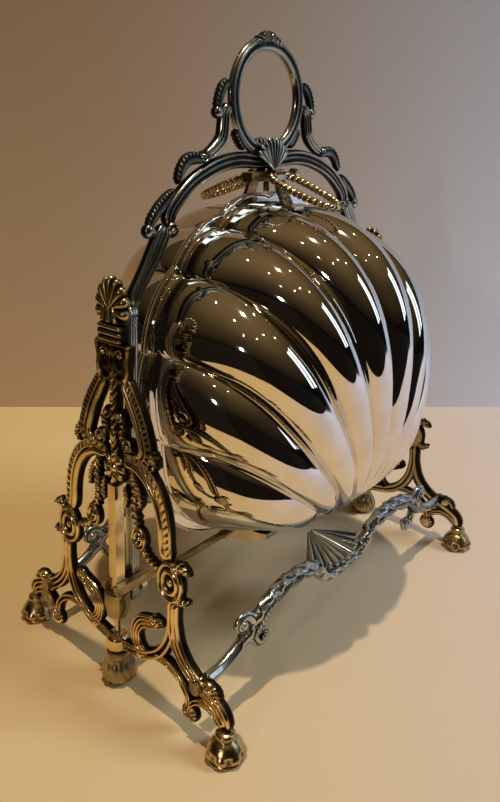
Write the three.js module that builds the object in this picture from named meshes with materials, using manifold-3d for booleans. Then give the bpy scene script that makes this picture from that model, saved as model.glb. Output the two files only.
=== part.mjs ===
// A Victorian folding biscuit box in silver plate.
// Two fluted shell bowls hang on one hinge rod between a pair of cast end supports.
// A handle frame carries the rod: lifted by its ring it slides up two square guide rods,
// and the bowls fold outwards until they lie over the rests on the stretchers.
// Millimetres, Z up, X along the box, the front on the -Y side, origin on the table.

import * as THREE from 'three';
import { mergeVertices } from 'three/addons/utils/BufferGeometryUtils.js';
import Module from 'manifold-3d';

const wasm = await Module();
wasm.setup();

// Driving dimensions: the stand
const footSpanAcross = 140.8; // between foot centres, front to back
const postHeight = 176; // from the table to the seat of the finial
const leanShare = 0.0697; // how far a support leans in for each unit of height
const supportThick = 3.8;
const supportSetOut = 1.9; // the support's outer face stands this far outside the foot centres
const bossProud = 1.2; // how far bosses and jewels stand out of a casting

// Driving dimensions: the handle frame
const lift = 46; // travel of the handle frame up its guide rods
const legSection = 5; // the handle's leg is square
const legTopRise = 45; // from the mouth's widest height up to where the leg meets the arch
const legBottom = 41.5;
const crownRise = 22; // from the mouth's top up to the highest point of the arch
const ringRise = 23.3; // from there up to the ring's middle
const ringMiddleRadius = 22.8;
const ringBandHalf = 3.1; // half the ring's thickness, seen from the front
const hingeHeight = 46;
const hingeRodRadius = 2;

// Driving dimensions: one bowl, from the middle of its mouth
const mouthFoot = 55.5; // height of the mouth's lowest point
const mouthHalfWide = 81;
const mouthRise = 79.5; // from the widest height up to the mouth's top
const mouthDrop = 81.5; // and down to its lowest point
const bowlDepth = 78.5;
const wall = 1.2;
const flangeWidth = 5.5;
const flangeThick = 1.2;
const fluteShare = 0.2; // depth of a flute as a share of its width
const creaseAngles = [0, 11.5, 23.5, 37.5, 53]; // degrees from upright, about the foot of the fan

// Fits
const seatGap = 0.3; // left between pieces that touch
const runningGap = 0.4; // left between pieces that slide or turn
const cutOverrun = 2; // how far a cutter runs past the face that it cuts
const weldDistance = 1e-4;

const flangeClear = 0.745; // between the mouth's flange and the handle's leg, at the widest height

const widestHeight = mouthFoot + mouthDrop;
const mouthTop = widestHeight + mouthRise;
const legTop = widestHeight + legTopRise;
const archCrown = mouthTop + crownRise;
const ringCentreHeight = archCrown + ringRise;
const sideReach = footSpanAcross / 2;
const leanAngle = Math.atan(leanShare);
const leanTravel = leanShare * lift;
const legOffset = supportThick + leanTravel + runningGap; // from the support's outer face
const legHalf = legSection / 2;
const legInnerFace = mouthHalfWide + flangeWidth + flangeClear;
const faceAtFloor = legInnerFace + legSection + legOffset + leanShare * widestHeight;
const footSpanAlong = 2 * (faceAtFloor - supportSetOut); // between foot centres, end to end
const faceAt = (height) => -(faceAtFloor - leanShare * height);
// From the leaning frame of the left end to the object's own frame
const leaning = (x, y, z) => new THREE.Vector3(
  x * Math.cos(leanAngle) + z * Math.sin(leanAngle) - faceAtFloor,
  y, z * Math.cos(leanAngle) - x * Math.sin(leanAngle));

// Materials
const castSilver = new THREE.MeshStandardMaterial({ color: 0xa89878, roughness: 0.32, metalness: 1 });
const polishedSilver = new THREE.MeshStandardMaterial({ color: 0xd8d2c6, roughness: 0.08, metalness: 1 });
const plainSilver = new THREE.MeshStandardMaterial({ color: 0xbdb5a5, roughness: 0.22, metalness: 1 });
const darkSilver = new THREE.MeshStandardMaterial({ color: 0x5c5244, roughness: 0.4, metalness: 1 });
const giltSilver = new THREE.MeshStandardMaterial({ color: 0xc8ab6c, roughness: 0.25, metalness: 1 });

// Closed meshes and their joins and cuts

function closedMesh(geometry) {
  const bare = geometry.clone();
  bare.deleteAttribute('normal');
  bare.deleteAttribute('uv');
  const merged = mergeVertices(bare, weldDistance);
  const { array } = merged.attributes.position;
  const faces = [];
  let volume = 0;
  for (let i = 0; i < merged.index.count; i += 3) {
    const [a, b, c] = [0, 1, 2].map((k) => merged.index.getX(i + k));
    if (a === b || b === c || c === a) continue;
    faces.push([a, b, c]);
    const [p, q, r] = [a, b, c].map((k) => new THREE.Vector3().fromArray(array, 3 * k));
    volume += p.dot(q.cross(r));
  }
  const order = volume < 0 ? faces.map(([a, b, c]) => [a, c, b]) : faces;
  return { array: new Float32Array(array), index: Uint32Array.from(order.flat()) };
}

function solidOf(geometry) {
  const { array, index } = closedMesh(geometry);
  return new wasm.Manifold(new wasm.Mesh({ numProp: 3, vertProperties: array, triVerts: index }));
}

function geometryOf(solid) {
  const mesh = solid.getMesh();
  const geometry = new THREE.BufferGeometry();
  geometry.setAttribute('position', new THREE.BufferAttribute(mesh.vertProperties, 3));
  geometry.setIndex(new THREE.BufferAttribute(mesh.triVerts, 1));
  geometry.computeVertexNormals();
  return geometry;
}

const joined = (solids) => solids.reduce((whole, next) => whole.add(next));
const without = (solid, cutters) => cutters.reduce((whole, next) => whole.subtract(next), solid);

function piece(name, solid, material) {
  const mesh = new THREE.Mesh(geometryOf(solid), material);
  mesh.name = name;
  return mesh;
}

// Rings of points, joined one to the next and capped at both ends unless the path closes
function loft(rings, closed = false) {
  const count = rings[0].length;
  const positions = rings.flat().flatMap((p) => [p.x, p.y, p.z]);
  const index = [];
  const spans = closed ? rings.length : rings.length - 1;
  for (let i = 0; i < spans; i += 1) {
    const here = i * count;
    const next = ((i + 1) % rings.length) * count;
    for (let j = 0; j < count; j += 1) {
      const k = (j + 1) % count;
      index.push(here + j, next + j, next + k, here + j, next + k, here + k);
    }
  }
  const last = (rings.length - 1) * count;
  for (let j = 1; j < count - 1 && !closed; j += 1) {
    index.push(0, j, j + 1, last, last + j + 1, last + j);
  }
  const geometry = new THREE.BufferGeometry();
  geometry.setAttribute('position', new THREE.Float32BufferAttribute(positions, 3));
  geometry.setIndex(index);
  return geometry;
}

// A value read from a list that is spread evenly over a path
function along(list, share) {
  const place = share * (list.length - 1);
  const first = Math.min(Math.floor(place), list.length - 2);
  return list[first] + (list[first + 1] - list[first]) * (place - first);
}

// Placing a flat drawing: on a support (drawn in Y and Z) or on the handle (drawn in X and Z)
const onSupport = (u, v, depth) => new THREE.Vector3(depth, u, v);
const onHandle = (u, v, depth) => new THREE.Vector3(u, -depth, v);

// A strap of a casting: flat, along a smooth line, with its width given along the way
function strap(points, widths, from, to, place, steps) {
  const flat = points.map(([u, v]) => new THREE.Vector3(u, v, 0));
  const line = new THREE.CatmullRomCurve3(flat, false, 'centripetal');
  const rings = [];
  for (let i = 0; i <= steps; i += 1) {
    const share = i / steps;
    const middle = line.getPoint(share);
    const tangent = line.getTangent(share);
    const half = along(widths, share) / 2;
    const left = [middle.x - tangent.y * half, middle.y + tangent.x * half];
    const right = [middle.x + tangent.y * half, middle.y - tangent.x * half];
    rings.push([place(...left, from), place(...right, from), place(...right, to), place(...left, to)]);
  }
  return solidOf(loft(rings));
}

// A flat boss with an elliptical outline
function boss(centre, halfWide, halfHigh, from, to, place, sides) {
  const ring = (depth) => Array.from({ length: sides }, (_, i) => {
    const turn = (2 * Math.PI * i) / sides;
    return place(centre[0] + halfWide * Math.cos(turn), centre[1] + halfHigh * Math.sin(turn), depth);
  });
  return solidOf(loft([ring(from), ring(to)]));
}

// A flat plate with a drawn outline
function plate(outline, from, to, place) {
  const shape = new THREE.Shape(outline.map(([u, v]) => new THREE.Vector2(u, v)));
  const geometry = new THREE.ExtrudeGeometry(shape, { depth: to - from, bevelEnabled: false, steps: 1 });
  const { position } = geometry.attributes;
  for (let i = 0; i < position.count; i += 1) {
    const p = place(position.getX(i), position.getY(i), from + position.getZ(i));
    position.setXYZ(i, p.x, p.y, p.z);
  }
  return solidOf(geometry);
}

// A turned piece about an upright axis, from [radius, height] pairs that start and end on it
function turned(profile, sides) {
  const points = profile.map(([radius, height]) => new THREE.Vector2(radius, height));
  return solidOf(new THREE.LatheGeometry(points, sides).rotateX(Math.PI / 2));
}

// A plain round bar between two points
function bar(start, end, radius, sides) {
  const line = new THREE.Vector3().subVectors(end, start);
  const geometry = new THREE.CylinderGeometry(radius, radius, line.length(), sides);
  const heading = line.clone().normalize();
  geometry.applyQuaternion(new THREE.Quaternion().setFromUnitVectors(new THREE.Vector3(0, 1, 0), heading));
  geometry.translate((start.x + end.x) / 2, (start.y + end.y) / 2, (start.z + end.z) / 2);
  return solidOf(geometry);
}

function block(low, high) {
  const geometry = new THREE.BoxGeometry(high[0] - low[0], high[1] - low[1], high[2] - low[2]);
  geometry.translate((low[0] + high[0]) / 2, (low[1] + high[1]) / 2, (low[2] + high[2]) / 2);
  return solidOf(geometry);
}

// A round section carried along a smooth path, with its radius given along the way
function rod(points, radii, steps, sides, closed = false) {
  const path = new THREE.CatmullRomCurve3(points, closed, 'centripetal');
  const frames = path.computeFrenetFrames(steps, closed);
  const rings = [];
  for (let i = 0; i < steps + (closed ? 0 : 1); i += 1) {
    const middle = path.getPointAt(i / steps);
    const radius = along(radii, i / steps);
    rings.push(Array.from({ length: sides }, (_, j) => {
      const turn = (2 * Math.PI * j) / sides;
      return middle.clone()
        .addScaledVector(frames.normals[i], radius * Math.cos(turn))
        .addScaledVector(frames.binormals[i], radius * Math.sin(turn));
    }));
  }
  return solidOf(loft(rings, closed));
}

// End supports: outlines as shares of the side reach and of the post's height
const mainLoopShares = [[0.071, 0.665], [0.199, 0.668], [0.327, 0.641], [0.412, 0.594], [0.452, 0.540],
  [0.463, 0.489], [0.486, 0.449]];
const lowerLoopShares = [[0.526, 0.352], [0.534, 0.295], [0.504, 0.233], [0.419, 0.176], [0.291, 0.142],
  [0.142, 0.127], [0, 0.123]];
const legShares = [[0.548, 0.358], [0.545, 0.290], [0.582, 0.233], [0.668, 0.188], [0.781, 0.160],
  [0.895, 0.143], [0.974, 0.123], [1, 0.101], [1, 0.084]];
const underScrollShares = [[0.369, 0.156], [0.483, 0.161], [0.597, 0.145], [0.675, 0.114], [0.703, 0.074]];
const innerScrollShares = [[0.455, 0.268], [0.341, 0.250], [0.237, 0.232], [0.189, 0.193], [0.220, 0.156],
  [0.305, 0.139]];
const innerScrollWidth = 7;
const chainShares = [[0.163, 0.659], [0.187, 0.602], [0.179, 0.551], [0.207, 0.500]];
const chainScrollShares = [[0.249, 0.455], [0.312, 0.430], [0.412, 0.416]];
const lyreShares = [[0.085, 0.875], [0.149, 0.835], [0.213, 0.793], [0.263, 0.747], [0.288, 0.710],
  [0.256, 0.685], [0.170, 0.672]];
const lyreStemShares = [[0, 0.648], [0, 0.886]];
const lyreLeafShares = [[0.028, 0.790], [0.092, 0.761], [0.077, 0.730], [0.135, 0.705], [0.213, 0.699]];
const upperTipShares = [[0.540, 0.432], [0.618, 0.451], [0.682, 0.443]];
const lowerTipShares = [[0.568, 0.378], [0.625, 0.367], [0.676, 0.375]];
const lyreTipShares = [[0.327, 0.716], [0.375, 0.688], [0.348, 0.668]];
const capitalShares = [[0, 0.852], [0.135, 0.852], [0.156, 0.881], [0.163, 0.909], [0.175, 0.952],
  [0.114, 0.958], [0.114, 1], [0, 1]];
const taperShares = [1, 0.8, 0.35];
const swellShares = [0.85, 1, 1, 0.95, 0.9];

const loopWidth = 9;
const lyreWidth = 8;
const legWidth = 7;
const lowerLoopWidth = 6;
const scrollWidth = 4.6;
const sprigWidth = 4.2;
const stemWidth = 5.5;
const jewelPlaceShares = [0.511, 0.398];
const jewelHalfWide = 8.2;
const jewelHalfHigh = 10.3;
const budPlaceShares = [0.230, 0.472];
const budHalfWide = 4.4;
const budHalfHigh = 5.6;
const rosettePlaceShares = [0, 0.636];
const rosetteRadius = 8;
const heelPlaceShares = [0.859, 0.168];
const heelRadius = 3.8;
const dropPlaceShares = [0.703, 0.060];
const dropRadius = 4.8;
const pearlPlaceShares = [0.384, 0.262];
const pearlRadius = 3.2;
const stretcherPlaceShares = [0.781, 0.160];
const stretcherPadRadius = 4.6;
const screwShankRadius = 1.1;
const strapSteps = 7;

const at = ([u, v]) => [u * sideReach, v * postHeight];
const atAll = (shares, side) => shares.map(([u, v]) => [side * u * sideReach, v * postHeight]);
const widthsOf = (width, shares = swellShares) => shares.map((share) => share * width);

// The guide rod, its stud and the boss that it stands in, in the leaning frame
const guideSection = 5;
const guideOffset = 0.6; // from the support's outer face to the rod's middle
const studRadius = 1.5;
const rodBossRadius = 5.5;
const rodBossBottom = 18;
const rodBossTop = 26;
const collarRadius = 6;
const collarBottom = 36.8;
const collarTop = 49.4;
const studBottom = 12;
const guideTop = rosettePlaceShares[1] * postHeight - rosetteRadius - seatGap;

function supportSolid() {
  const mirror = (make) => [make(1), make(-1)];
  const band = (shares, width, widthShares, steps = strapSteps) => mirror((side) =>
    strap(atAll(shares, side), widthsOf(width, widthShares), 0, supportThick, onSupport, steps));
  const stud = (place, wide, high, sides) => mirror((side) => {
    const [u, v] = at(place);
    return boss([side * u, v], wide, high, -bossProud, supportThick, onSupport, sides);
  });
  const capital = mirror((side) =>
    plate(atAll(capitalShares, side), -bossProud, supportThick, onSupport));
  const rodBoss = turned([[0, rodBossBottom], [rodBossRadius, rodBossBottom],
    [rodBossRadius, rodBossTop], [0, rodBossTop]], 14).translate([guideOffset, 0, 0]);
  const body = joined([
    ...band(mainLoopShares, loopWidth), ...band(lowerLoopShares, lowerLoopWidth),
    ...band(legShares, legWidth, undefined, 10), ...band(underScrollShares, scrollWidth),
    ...band(innerScrollShares, innerScrollWidth), ...band(chainShares, sprigWidth, undefined, 4),
    ...band(chainScrollShares, sprigWidth, undefined, 4), ...band(lyreShares, lyreWidth),
    ...band(lyreLeafShares, sprigWidth, undefined, 6), ...band(upperTipShares, sprigWidth, taperShares, 3),
    ...band(lowerTipShares, sprigWidth, taperShares, 3), ...band(lyreTipShares, sprigWidth, taperShares, 3),
    strap(atAll(lyreStemShares, 1), widthsOf(stemWidth), 0, supportThick, onSupport, 1),
    ...stud(jewelPlaceShares, jewelHalfWide, jewelHalfHigh, 14),
    ...stud(budPlaceShares, budHalfWide, budHalfHigh, 8),
    ...stud(heelPlaceShares, heelRadius, heelRadius, 8),
    ...stud(dropPlaceShares, dropRadius, dropRadius, 8),
    ...stud(pearlPlaceShares, pearlRadius, pearlRadius, 8),
    ...stud(stretcherPlaceShares, stretcherPadRadius, stretcherPadRadius, 12),
    boss(at(rosettePlaceShares), rosetteRadius, rosetteRadius, -bossProud, supportThick, onSupport, 14),
    ...capital, rodBoss,
  ]);
  const studBore = bar(new THREE.Vector3(guideOffset, 0, rodBossBottom - cutOverrun),
    new THREE.Vector3(guideOffset, 0, rodBossTop + cutOverrun), studRadius + seatGap, 10);
  const screwBores = mirror((side) => {
    const [u, v] = at(stretcherPlaceShares);
    return bar(new THREE.Vector3(-bossProud - cutOverrun, side * u, v),
      new THREE.Vector3(supportThick + cutOverrun, side * u, v), screwShankRadius + seatGap, 10);
  });
  return without(body, [studBore, ...screwBores]);
}

// The palmette above the sleeve
const finialHeight = 19.2;
const finialHalfWide = 9.9;
const finialFootHalf = 7;
const finialNeckHalf = 5.6;
const finialFanHeight = 13.6; // from the lobes' widest place up to the top
const finialLobes = 9;
const finialLobeShare = 0.12;
const finialSpread = 210; // degrees
const finialProud = 3; // how far the palmette and its sleeve stand out of the support

function finialSolid() {
  const base = postHeight + seatGap;
  const middle = postHeight + finialHeight - finialFanHeight;
  const neck = (base + middle) / 2;
  const outline = [[-finialNeckHalf, neck], [-finialFootHalf, base], [finialFootHalf, base],
    [finialNeckHalf, neck]];
  const steps = finialLobes * 3;
  for (let i = 0; i <= steps; i += 1) {
    const share = i / steps;
    const turn = THREE.MathUtils.degToRad(finialSpread) * (0.5 - share);
    const lobe = Math.abs(Math.sin(share * finialLobes * Math.PI));
    const swell = 1 - finialLobeShare + finialLobeShare * lobe;
    const [wide, high] = [finialHalfWide, finialFanHeight].map((size) => size * swell);
    outline.push([wide * Math.sin(turn), middle + high * Math.cos(turn)]);
  }
  return plate(outline, -finialProud, supportThick, onSupport);
}

// Shell feet and the pear foot under each guide rod
const footRadius = 9.2;
const footHeight = 14.4;
const footProfileShares = [[0, 0], [0.9, 0], [1, 0.1], [0.97, 0.26], [1, 0.36], [0.83, 0.52], [0.52, 0.68],
  [0.4, 0.76], [0.46, 0.87], [0.37, 1], [0, 1]];
const pearRadius = 8.8;
const pearHeight = 17.1;
const pearProfileShares = [[0, 0], [0.5, 0], [0.9, 0.12], [1, 0.28], [0.86, 0.55], [0.62, 0.78], [0.62, 1],
  [0, 1]];
const pearBoreShare = 0.6;

function footSolid() {
  return turned(footProfileShares.map(([r, h]) => [r * footRadius, h * footHeight]), 12);
}

function pearSolid() {
  const body = turned(pearProfileShares.map(([r, h]) => [r * pearRadius, h * pearHeight]), 14);
  const bore = bar(new THREE.Vector3(0, 0, pearHeight * pearBoreShare),
    new THREE.Vector3(0, 0, pearHeight + cutOverrun), studRadius + runningGap + seatGap, 10);
  return body.subtract(bore);
}

function guideRodSolid() {
  const half = guideSection / 2;
  const square = block([guideOffset - half, -half, collarBottom], [guideOffset + half, half, guideTop]);
  const stud = bar(new THREE.Vector3(guideOffset, 0, studBottom),
    new THREE.Vector3(guideOffset, 0, collarBottom + cutOverrun), studRadius, 10);
  return square.add(stud);
}

function rodCollarSolid() {
  const half = guideSection / 2 + seatGap;
  const waist = collarRadius * 0.8;
  const middle = (collarBottom + collarTop) / 2;
  const body = turned([[0, collarBottom], [waist, collarBottom], [collarRadius, middle],
    [collarRadius, collarTop], [0, collarTop]], 12).translate([guideOffset, 0, 0]);
  return body.subtract(block([guideOffset - half, -half, collarBottom - cutOverrun],
    [guideOffset + half, half, collarTop + cutOverrun]));
}

// Stretchers between the supports, with the scallop rests for the open bowls
const stretcherRadius = 3.3;
const stretcherDrop = 19.2; // the middle dips this far under the bar's highest part
const stretcherTop = 51.3; // height of the bar's middle line at its highest
const stretcherShares = [[1, 0], [0.93, 0.02], [0.86, 0.09], [0.79, 0.23], [0.73, 0.43], [0.68, 0.62],
  [0.62, 0.79], [0.53, 0.94], [0.44, 1], [0.35, 0.98], [0.27, 0.87], [0.222, 0.64], [0.185, 0.36],
  [0.145, 0.2], [0.08, 0.17]];
const stretcherRadiusShares = [1.1, 1, 1.3, 1.15, 1, 0.95, 0.95, 1, 1.15, 1, 0.95, 0.95, 1, 1.15, 1.3, 1, 1.1];
const stretcherCurlShares = [[[0.7, 0.55], [0.74, 0.76], [0.79, 0.78], [0.8, 0.63], [0.77, 0.58]],
  [[0.71, 0.45], [0.69, 0.16], [0.66, -0.04], [0.625, 0], [0.635, 0.14]]];
const stretcherCurlRadius = 2.3;
const stretcherCurlSteps = 12;
const stretcherSteps = 56;
const stretcherSides = 7;
const stretcherDipShare = 1.15; // the bar's radius where it dips under the rest
const stretcherBoreDepth = 8;

const [stretcherAcross, stretcherHeight] = at(stretcherPlaceShares);
const stretcherEnd = -faceAt(stretcherHeight) - supportThick - seatGap - leanShare * stretcherPadRadius;

function stretcherSolid() {
  const rise = stretcherTop - stretcherHeight;
  const half = stretcherShares.map(([u, v]) => [u * stretcherEnd, stretcherHeight + v * rise]);
  const middle = [[0, stretcherTop - stretcherDrop]];
  const line = [...half, ...middle, ...half.slice().reverse().map(([u, v]) => [-u, v])];
  const points = line.map(([u, v]) => new THREE.Vector3(u, -stretcherAcross, v));
  const radii = stretcherRadiusShares.map((share) => share * stretcherRadius);
  const curls = stretcherCurlShares.flatMap((shares) => [1, -1].map((side) => rod(
    shares.map(([u, v]) => new THREE.Vector3(side * u * stretcherEnd, -stretcherAcross, stretcherHeight + v * rise)),
    [stretcherCurlRadius, stretcherCurlRadius], stretcherCurlSteps, stretcherSides)));
  const body = joined([rod(points, radii, stretcherSteps, stretcherSides), ...curls]);
  const bore = bar(leaning(0, -stretcherAcross, stretcherHeight),
    leaning(supportThick + stretcherBoreDepth, -stretcherAcross, stretcherHeight),
    screwShankRadius + runningGap, 8);
  return without(body, [bore, bore.mirror([1, 0, 0])]);
}

const screwHeadRadius = 3;
const screwHeadHeight = 1.6;

function screwSolid(side) {
  const [u, v] = at(stretcherPlaceShares);
  const face = -bossProud - seatGap;
  const reach = supportThick + stretcherBoreDepth - cutOverrun;
  return joined([
    bar(new THREE.Vector3(face - screwHeadHeight, side * u, v), new THREE.Vector3(face, side * u, v),
      screwHeadRadius, 12),
    bar(new THREE.Vector3(face - screwHeadHeight / 2, side * u, v), new THREE.Vector3(reach, side * u, v),
      screwShankRadius, 8),
  ]);
}

// A scallop: a corrugated fan about its apex, of even thickness
const restRadius = 27.5;
const restSpread = 106; // degrees
const restFlutes = 9;
const restThick = 2.4;
const restRipple = 0.9;
const restTilt = 17; // degrees down towards the outside
const restSeatIn = 24; // from the fan's apex out to the bar that it is seated on
const innerRadiusShare = 0.12;

function scallop(radius, spread, flutes, thick, ripple) {
  const across = flutes * 2;
  const rings = [];
  for (let i = 0; i <= across; i += 1) {
    const turn = THREE.MathUtils.degToRad(spread) * (i / across - 0.5);
    const crest = i % 2 ? 1 : 0;
    const outer = radius * (crest ? 1 : 0.95);
    const inner = radius * innerRadiusShare;
    const height = crest * ripple;
    const spot = (r, z) => new THREE.Vector3(r * Math.sin(turn), -r * Math.cos(turn), z);
    rings.push([spot(inner, 0), spot(outer, 0), spot(outer, thick + height), spot(inner, thick)]);
  }
  return solidOf(loft(rings));
}

function restSolid() {
  const fan = scallop(restRadius, restSpread, restFlutes, restThick, restRipple);
  const tilt = THREE.MathUtils.degToRad(restTilt);
  const overBar = stretcherTop - stretcherDrop
    + (stretcherRadius * stretcherDipShare + seatGap * 2) / Math.cos(tilt);
  const apexHeight = overBar + restSeatIn * Math.tan(tilt);
  return fan.rotate([restTilt, 0, 0]).translate([0, restSeatIn - stretcherAcross, apexHeight]);
}

// The arch: outlines as shares of its half width and of its rise above the legs
const archHalf = -faceAt(legTop) - legOffset - legHalf;
const archRise = archCrown - legTop;
const archBandShares = [[-0.02, 0.922], [0.115, 0.942], [0.231, 0.955], [0.346, 0.936], [0.462, 0.886],
  [0.577, 0.808], [0.672, 0.7], [0.732, 0.6], [0.745, 0.51]];
const archLegShares = [[0.76, 0.53], [0.8, 0.43], [0.86, 0.29], [0.93, 0.15], [1, 0.01]];
const archLeafShares = [[0.485, 0.965], [0.543, 0.985], [0.6, 0.972], [0.647, 0.903], [0.675, 0.805]];
const archLowLeafShares = [[0.693, 0.775], [0.762, 0.69], [0.826, 0.606], [0.872, 0.52]];
const archHookPlaceShares = [0.725, 0.485];
const archPearlPlaceShares = [0.868, 0.494];
const archBandWidth = 7;
const archLegWidth = 8.4;
const archLegWidthShares = [0.9, 1, 0.95, 0.8, 0.6];
const archLeafWidth = 5.6;
const archHookRadius = 3.4;
const archPearlRadius = 3.1;
const archThick = 5;

const atArch = (shares, side) => shares.map(([u, v]) => [side * u * archHalf, legTop + v * archRise]);

function archSolid(grow = 0) {
  const depth = archThick / 2 + grow;
  const widths = (width, shares) => widthsOf(width + 2 * grow, shares);
  const side = (sign) => {
    const [hook, pearl] = atArch([archHookPlaceShares, archPearlPlaceShares], sign);
    return [
      strap(atArch(archBandShares, sign), widths(archBandWidth), -depth, depth, onHandle, 14),
      strap(atArch(archLegShares, sign), widths(archLegWidth, archLegWidthShares), -depth, depth,
        onHandle, 7),
      strap(atArch(archLeafShares, sign), widths(archLeafWidth), -depth, depth, onHandle, 7),
      strap(atArch(archLowLeafShares, sign), widths(archLeafWidth), -depth, depth, onHandle, 6),
      boss(hook, archHookRadius + grow, archHookRadius + grow, -depth, depth, onHandle, 10),
      boss(pearl, archPearlRadius + grow, archPearlRadius + grow, -depth, depth, onHandle, 10),
    ];
  };
  return joined([...side(1), ...side(-1)]);
}

// The ring that the box is carried by, with its side scrolls, as shares of the ring's radius
const ringDepthShare = 0.74;
const ringScrollShares = [[1.84, -1.05], [1.6, -0.93], [1.37, -0.72], [1.31, -0.47], [1.28, -0.28],
  [1.14, -0.12]];
const ringLeafShares = [[1.12, 0.3], [1.3, 0.18], [1.41, -0.02], [1.47, -0.24]];
const ringPearlPlaceShares = [1.46, -0.26];
const ringPearlRadius = 2.7;
const ringScrollWidth = 5.6;
const ringLeafWidth = 4.4;
const ringCrestPlaceShares = [0, 1.121];
const ringCrestHalfWide = 5.2;
const ringCrestHalfHigh = 2.6;

function ringSolid() {
  const torus = new THREE.TorusGeometry(ringMiddleRadius, ringBandHalf, 7, 30).rotateX(Math.PI / 2);
  torus.scale(1, ringDepthShare, 1);
  torus.translate(0, 0, ringCentreHeight);
  const depth = ringBandHalf * ringDepthShare * 0.9;
  const atRing = (shares, side) => shares.map(([u, v]) =>
    [side * u * ringMiddleRadius, ringCentreHeight + v * ringMiddleRadius]);
  const side = (sign) => [
    strap(atRing(ringScrollShares, sign), widthsOf(ringScrollWidth), -depth, depth, onHandle, 7),
    strap(atRing(ringLeafShares, sign), widthsOf(ringLeafWidth), -depth, depth, onHandle, 7),
    boss(atRing([ringPearlPlaceShares], sign)[0], ringPearlRadius, ringPearlRadius, -depth, depth,
      onHandle, 10),
  ];
  const crest = boss(atRing([ringCrestPlaceShares], 1)[0], ringCrestHalfWide, ringCrestHalfHigh,
    -depth, depth, onHandle, 10);
  return joined([solidOf(torus), ...side(1), ...side(-1), crest]).subtract(archSolid(seatGap));
}

// The scallop applied to the middle of the arch, upright on its face
const crestRadius = 15.5;
const crestSpread = 96; // degrees
const crestFlutes = 7;
const crestThick = 2;
const crestRipple = 0.7;
const crestDrop = 7.5; // from the arch's highest point down to the scallop's apex

function archCrestSolid() {
  const fan = scallop(crestRadius, crestSpread, crestFlutes, crestThick, crestRipple);
  const stand = fan.rotate([0, 0, 180]).rotate([90, 0, 0]);
  const face = Math.max(archThick / 2, ringBandHalf * ringDepthShare) + seatGap;
  return stand.translate([0, -face, archCrown - crestDrop]);
}

// Handle legs, the forks that ride on the guide rods, the hinge rod and its collars
const forkBottom = 50.4;
const forkHeight = 4.4;
const forkProng = 3.3;
const forkBridge = 2.2;
const forkOutside = 1.8; // how far the prongs reach past the guide rod at rest
const hingeBore = hingeRodRadius + runningGap;
const axleCollarRadius = 3.6;
const axleCollarLength = 3;

function handleLegSolid() {
  const inner = legOffset + legSection;
  const body = block([legOffset, -legHalf, legBottom], [inner, legHalf, legTop - seatGap]);
  const hinge = new THREE.Vector3(0, 0, hingeHeight).applyAxisAngle(new THREE.Vector3(0, 1, 0), leanAngle);
  const height = hingeHeight + (hingeHeight - hinge.z) + legOffset * Math.sin(leanAngle);
  const bore = bar(new THREE.Vector3(legOffset - cutOverrun, 0, height),
    new THREE.Vector3(inner + cutOverrun, 0, height), hingeBore, 12);
  return body.subtract(bore);
}

function forkSolid() {
  const slotHalf = Math.max(guideSection / 2, legHalf) + runningGap;
  const half = slotHalf + forkProng;
  const slotEnd = faceAt(forkBottom + forkHeight) + legOffset + legSection + seatGap;
  const outside = faceAt(forkBottom) + guideOffset - guideSection / 2 - forkOutside;
  const body = block([outside, -half, forkBottom], [slotEnd + forkBridge, half, forkBottom + forkHeight]);
  return body.subtract(block([outside - cutOverrun, -slotHalf, forkBottom - cutOverrun],
    [slotEnd, slotHalf, forkBottom + forkHeight + cutOverrun]));
}

const hingeRodEnd = -faceAt(hingeHeight) - legOffset - seatGap;

function hingeRodSolid() {
  return bar(new THREE.Vector3(-hingeRodEnd, 0, hingeHeight), new THREE.Vector3(hingeRodEnd, 0, hingeHeight),
    hingeRodRadius, 12);
}

function axleCollarSolid() {
  const start = faceAt(hingeHeight) + legOffset + legSection + leanShare * axleCollarRadius + runningGap;
  const ring = (from, to, radius) => bar(new THREE.Vector3(from, 0, hingeHeight),
    new THREE.Vector3(to, 0, hingeHeight), radius, 12);
  return ring(start, start + axleCollarLength, axleCollarRadius)
    .subtract(ring(start - cutOverrun, start + axleCollarLength + cutOverrun, hingeRodRadius + seatGap));
}

// The catch under the arch and its bolt
const catchLeft = 14;
const catchRight = 3;
const catchHalf = 3;
const catchHeight = 4.2;
const catchPostRadius = 1.5;
const catchPostLength = 5;
const boltRadius = 1.2;
const boltHeadRadius = 2.6;
const boltHeadLength = 2.4;
const boltReach = 22;
const boltTravel = 4;
const boltInside = 6;

const archUnderside = Math.min(...archBandShares.slice(0, 3).map(([, v]) => legTop + v * archRise))
  - archBandWidth / 2;
const catchTop = archUnderside - seatGap;
const boltHeight = catchTop - catchHeight / 2;

function catchBlockSolid() {
  const body = block([-catchLeft, -catchHalf, catchTop - catchHeight], [catchRight, catchHalf, catchTop]);
  const post = bar(new THREE.Vector3(0, 0, catchTop - catchHeight - catchPostLength),
    new THREE.Vector3(0, 0, boltHeight - boltRadius - runningGap), catchPostRadius, 8);
  const bore = bar(new THREE.Vector3(-boltInside - boltTravel - seatGap, 0, boltHeight),
    new THREE.Vector3(catchRight + cutOverrun, 0, boltHeight), boltRadius + runningGap, 10);
  return body.add(post).subtract(bore);
}

function boltSolid() {
  return bar(new THREE.Vector3(-boltInside + seatGap, 0, boltHeight),
    new THREE.Vector3(boltReach - boltHeadLength / 2, 0, boltHeight), boltRadius, 8)
    .add(bar(new THREE.Vector3(boltReach - boltHeadLength, 0, boltHeight),
      new THREE.Vector3(boltReach, 0, boltHeight), boltHeadRadius, 12));
}

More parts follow.
